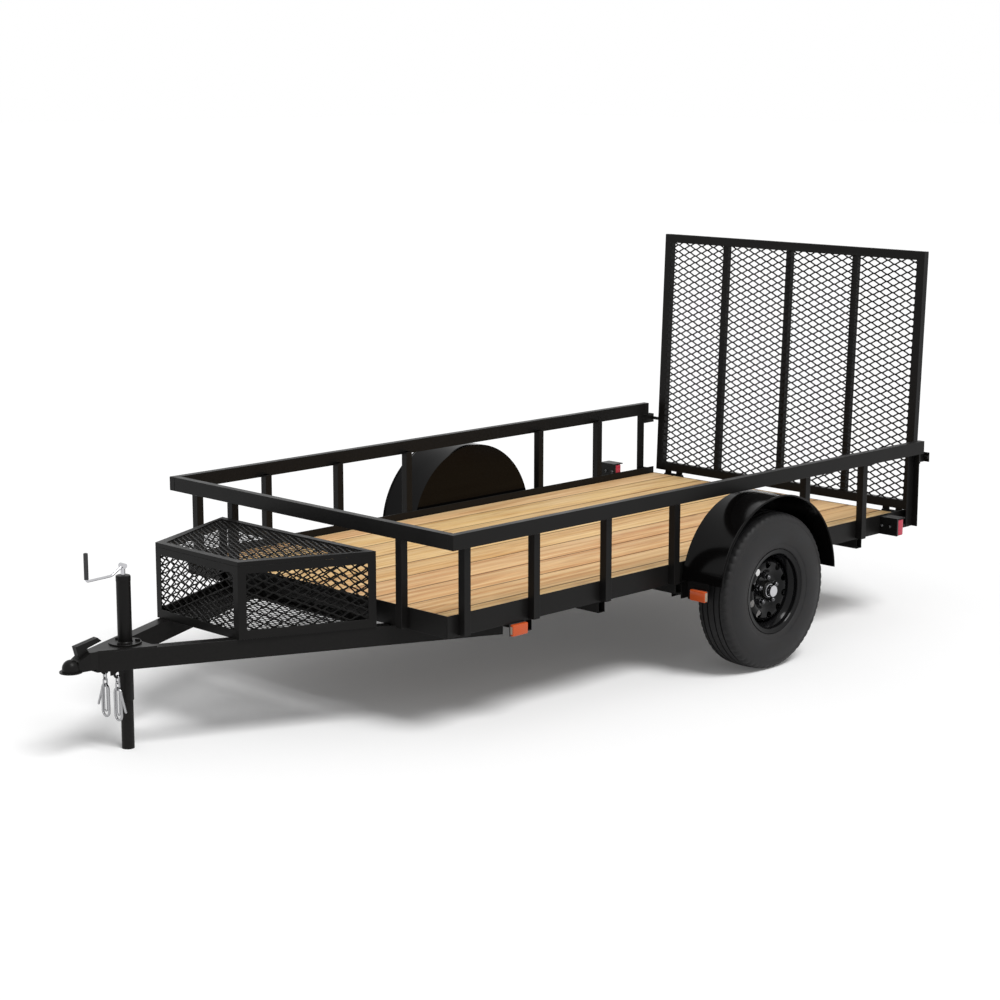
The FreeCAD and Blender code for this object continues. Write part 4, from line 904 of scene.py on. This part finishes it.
for side_name, side in sides.items():
    chain_shape = bmesh.new()
    for top, length, width, wire, turn, steps in (
            (chain_top, link_length, link_width, link_wire, 0.0, 12),
            (chain_top - link_drop, link_length, link_width, link_wire, 90.0, 12),
            (hook_top, 0.134, 0.050, 0.0050, 0.0, 14), (hook_top - 0.0085, 0.104, 0.024, 0.0030, 0.0, 12)):
        round_bar(chain_shape, oval(top, length, width, wire, turn), wire, steps, True)
    bar_start = Vector((0.0, 0.0190, hook_top - 0.021))
    bar_end = bar_start + Vector((0.0, math.sin(bar_swing), -math.cos(bar_swing))) * bar_length
    round_bar(chain_shape, [bar_start, bar_end], bar_wire, 14)
    bmesh.ops.create_uvsphere(chain_shape, u_segments=14, v_segments=8, radius=bar_wire,
                              matrix=Matrix.Translation(bar_end))
    chain_shape.transform(Matrix.Translation((chain_x, chain_y * side, 0.0)) @
                          Matrix.Diagonal((1.0, side, 1.0, 1.0)))
    finished("chain_links_" + side_name, chain_shape, zinc_plate, "chassis", 40.0,
             ("safety_chain_" + side_name,))


# The lamps: moulded lenses on shallow bases, amber at the sides and on the fender tabs, red at the rear.
# Fine ribs inside each lens break up its colour, and two nuts hold each rear lamp to its bracket.
def lens_material(name, colour, deep):
    """Clear coloured plastic over a ribbed back."""
    material, tree, shader = new_material(name)
    ribs = tree.nodes.new("ShaderNodeTexWave")
    ribs.bands_direction = "DIAGONAL"
    ribs.inputs["Scale"].default_value = 70.0
    tree.links.new(tree.nodes.new("ShaderNodeTexCoord").outputs["Object"], ribs.inputs["Vector"])
    tree.links.new(mix_node(tree, ribs.outputs["Fac"], colour, deep), shader.inputs["Base Color"])
    shader.inputs["Roughness"].default_value = 0.16
    shader.inputs["Specular IOR Level"].default_value = 0.3
    return material


def rounded_block(shape, low, high, offset):
    """A box between two corners with rounded edges."""
    low, high = Vector(low), Vector(high)
    corners = block(shape, (low + high) / 2, high - low)
    round_edges(shape, list(dict.fromkeys(edge for vert in corners for edge in vert.link_edges)), offset, 3)


amber_lens = lens_material("amber_lens", (0.56, 0.090, 0.018), (0.42, 0.060, 0.010))
red_lens = lens_material("red_lens", (0.52, 0.05, 0.09), (0.36, 0.02, 0.04))
pale_plastic = plain_material("pale_plastic", (0.34, 0.27, 0.20), 0.0, 0.35)
lens_blocks = [((0.5460, 0.8070, 0.3570), (0.6285, 0.8258, 0.4030)),
               ((-0.3800, 0.8850, 0.3480), (-0.3615, 0.9670, 0.3940))]
base_blocks = [((0.5435, 0.8040, 0.3550), (0.6315, 0.8100, 0.4050)),
               ((-0.3832, 0.8850, 0.3475), (-0.3790, 0.9680, 0.3945))]
rim_blocks = [((0.6285, 0.8080, 0.3650), (0.6305, 0.8200, 0.3950)),
              ((-0.3780, 0.9668, 0.3530), (-0.3645, 0.9688, 0.3890))]
lens_front = 0.008
back_depth = 0.0095
stud_places = (0.816, 0.861)
for side_name, side in sides.items():
    for name, blocks, offset, material, sharp, replaced in (
            ("amber_lenses_", lens_blocks, 0.004, amber_lens, 40.0, ("side_marker_" + side_name,)),
            ("amber_bases_", base_blocks, 0.0015, black_plastic, 35.0, ()),
            ("amber_rims_", rim_blocks, 0.0008, pale_plastic, 35.0, ())):
        shape = bmesh.new()
        for low, high in blocks:
            rounded_block(shape, low, high, offset)
        shape.transform(Matrix.Diagonal((1.0, side, 1.0, 1.0)))
        finished(name + side_name, shape, material, "chassis", sharp, replaced)
    tail_low, tail_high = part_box("tail_lamp_" + side_name)
    tail_shape = bmesh.new()
    rounded_block(tail_shape, tail_low, tail_high - Vector((lens_front, 0.0, 0.0)), 0.005)
    finished("tail_lens_" + side_name, tail_shape, red_lens, "chassis", 40.0,
             ("tail_lamp_" + side_name,))
    back_shape = bmesh.new()
    rounded_block(back_shape, (tail_high.x - back_depth, tail_low.y, tail_low.z), tail_high, 0.001)
    finished("tail_back_" + side_name, back_shape, black_plastic, "chassis")
    stud_shape = bmesh.new()
    bracket_low, bracket_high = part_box("tail_bracket_" + side_name)
    for across in stud_places:
        place = Vector((bracket_high.x - 0.012, across * side, bracket_low.z + 0.041))
        hex_nut(stud_shape, Matrix.Translation(place) @ Matrix.Rotation(math.radians(90.0), 4, "Y"),
                0.0055, 0.008)
    finished("tail_nuts_" + side_name, stud_shape, zinc_plate, "chassis", 30.0)
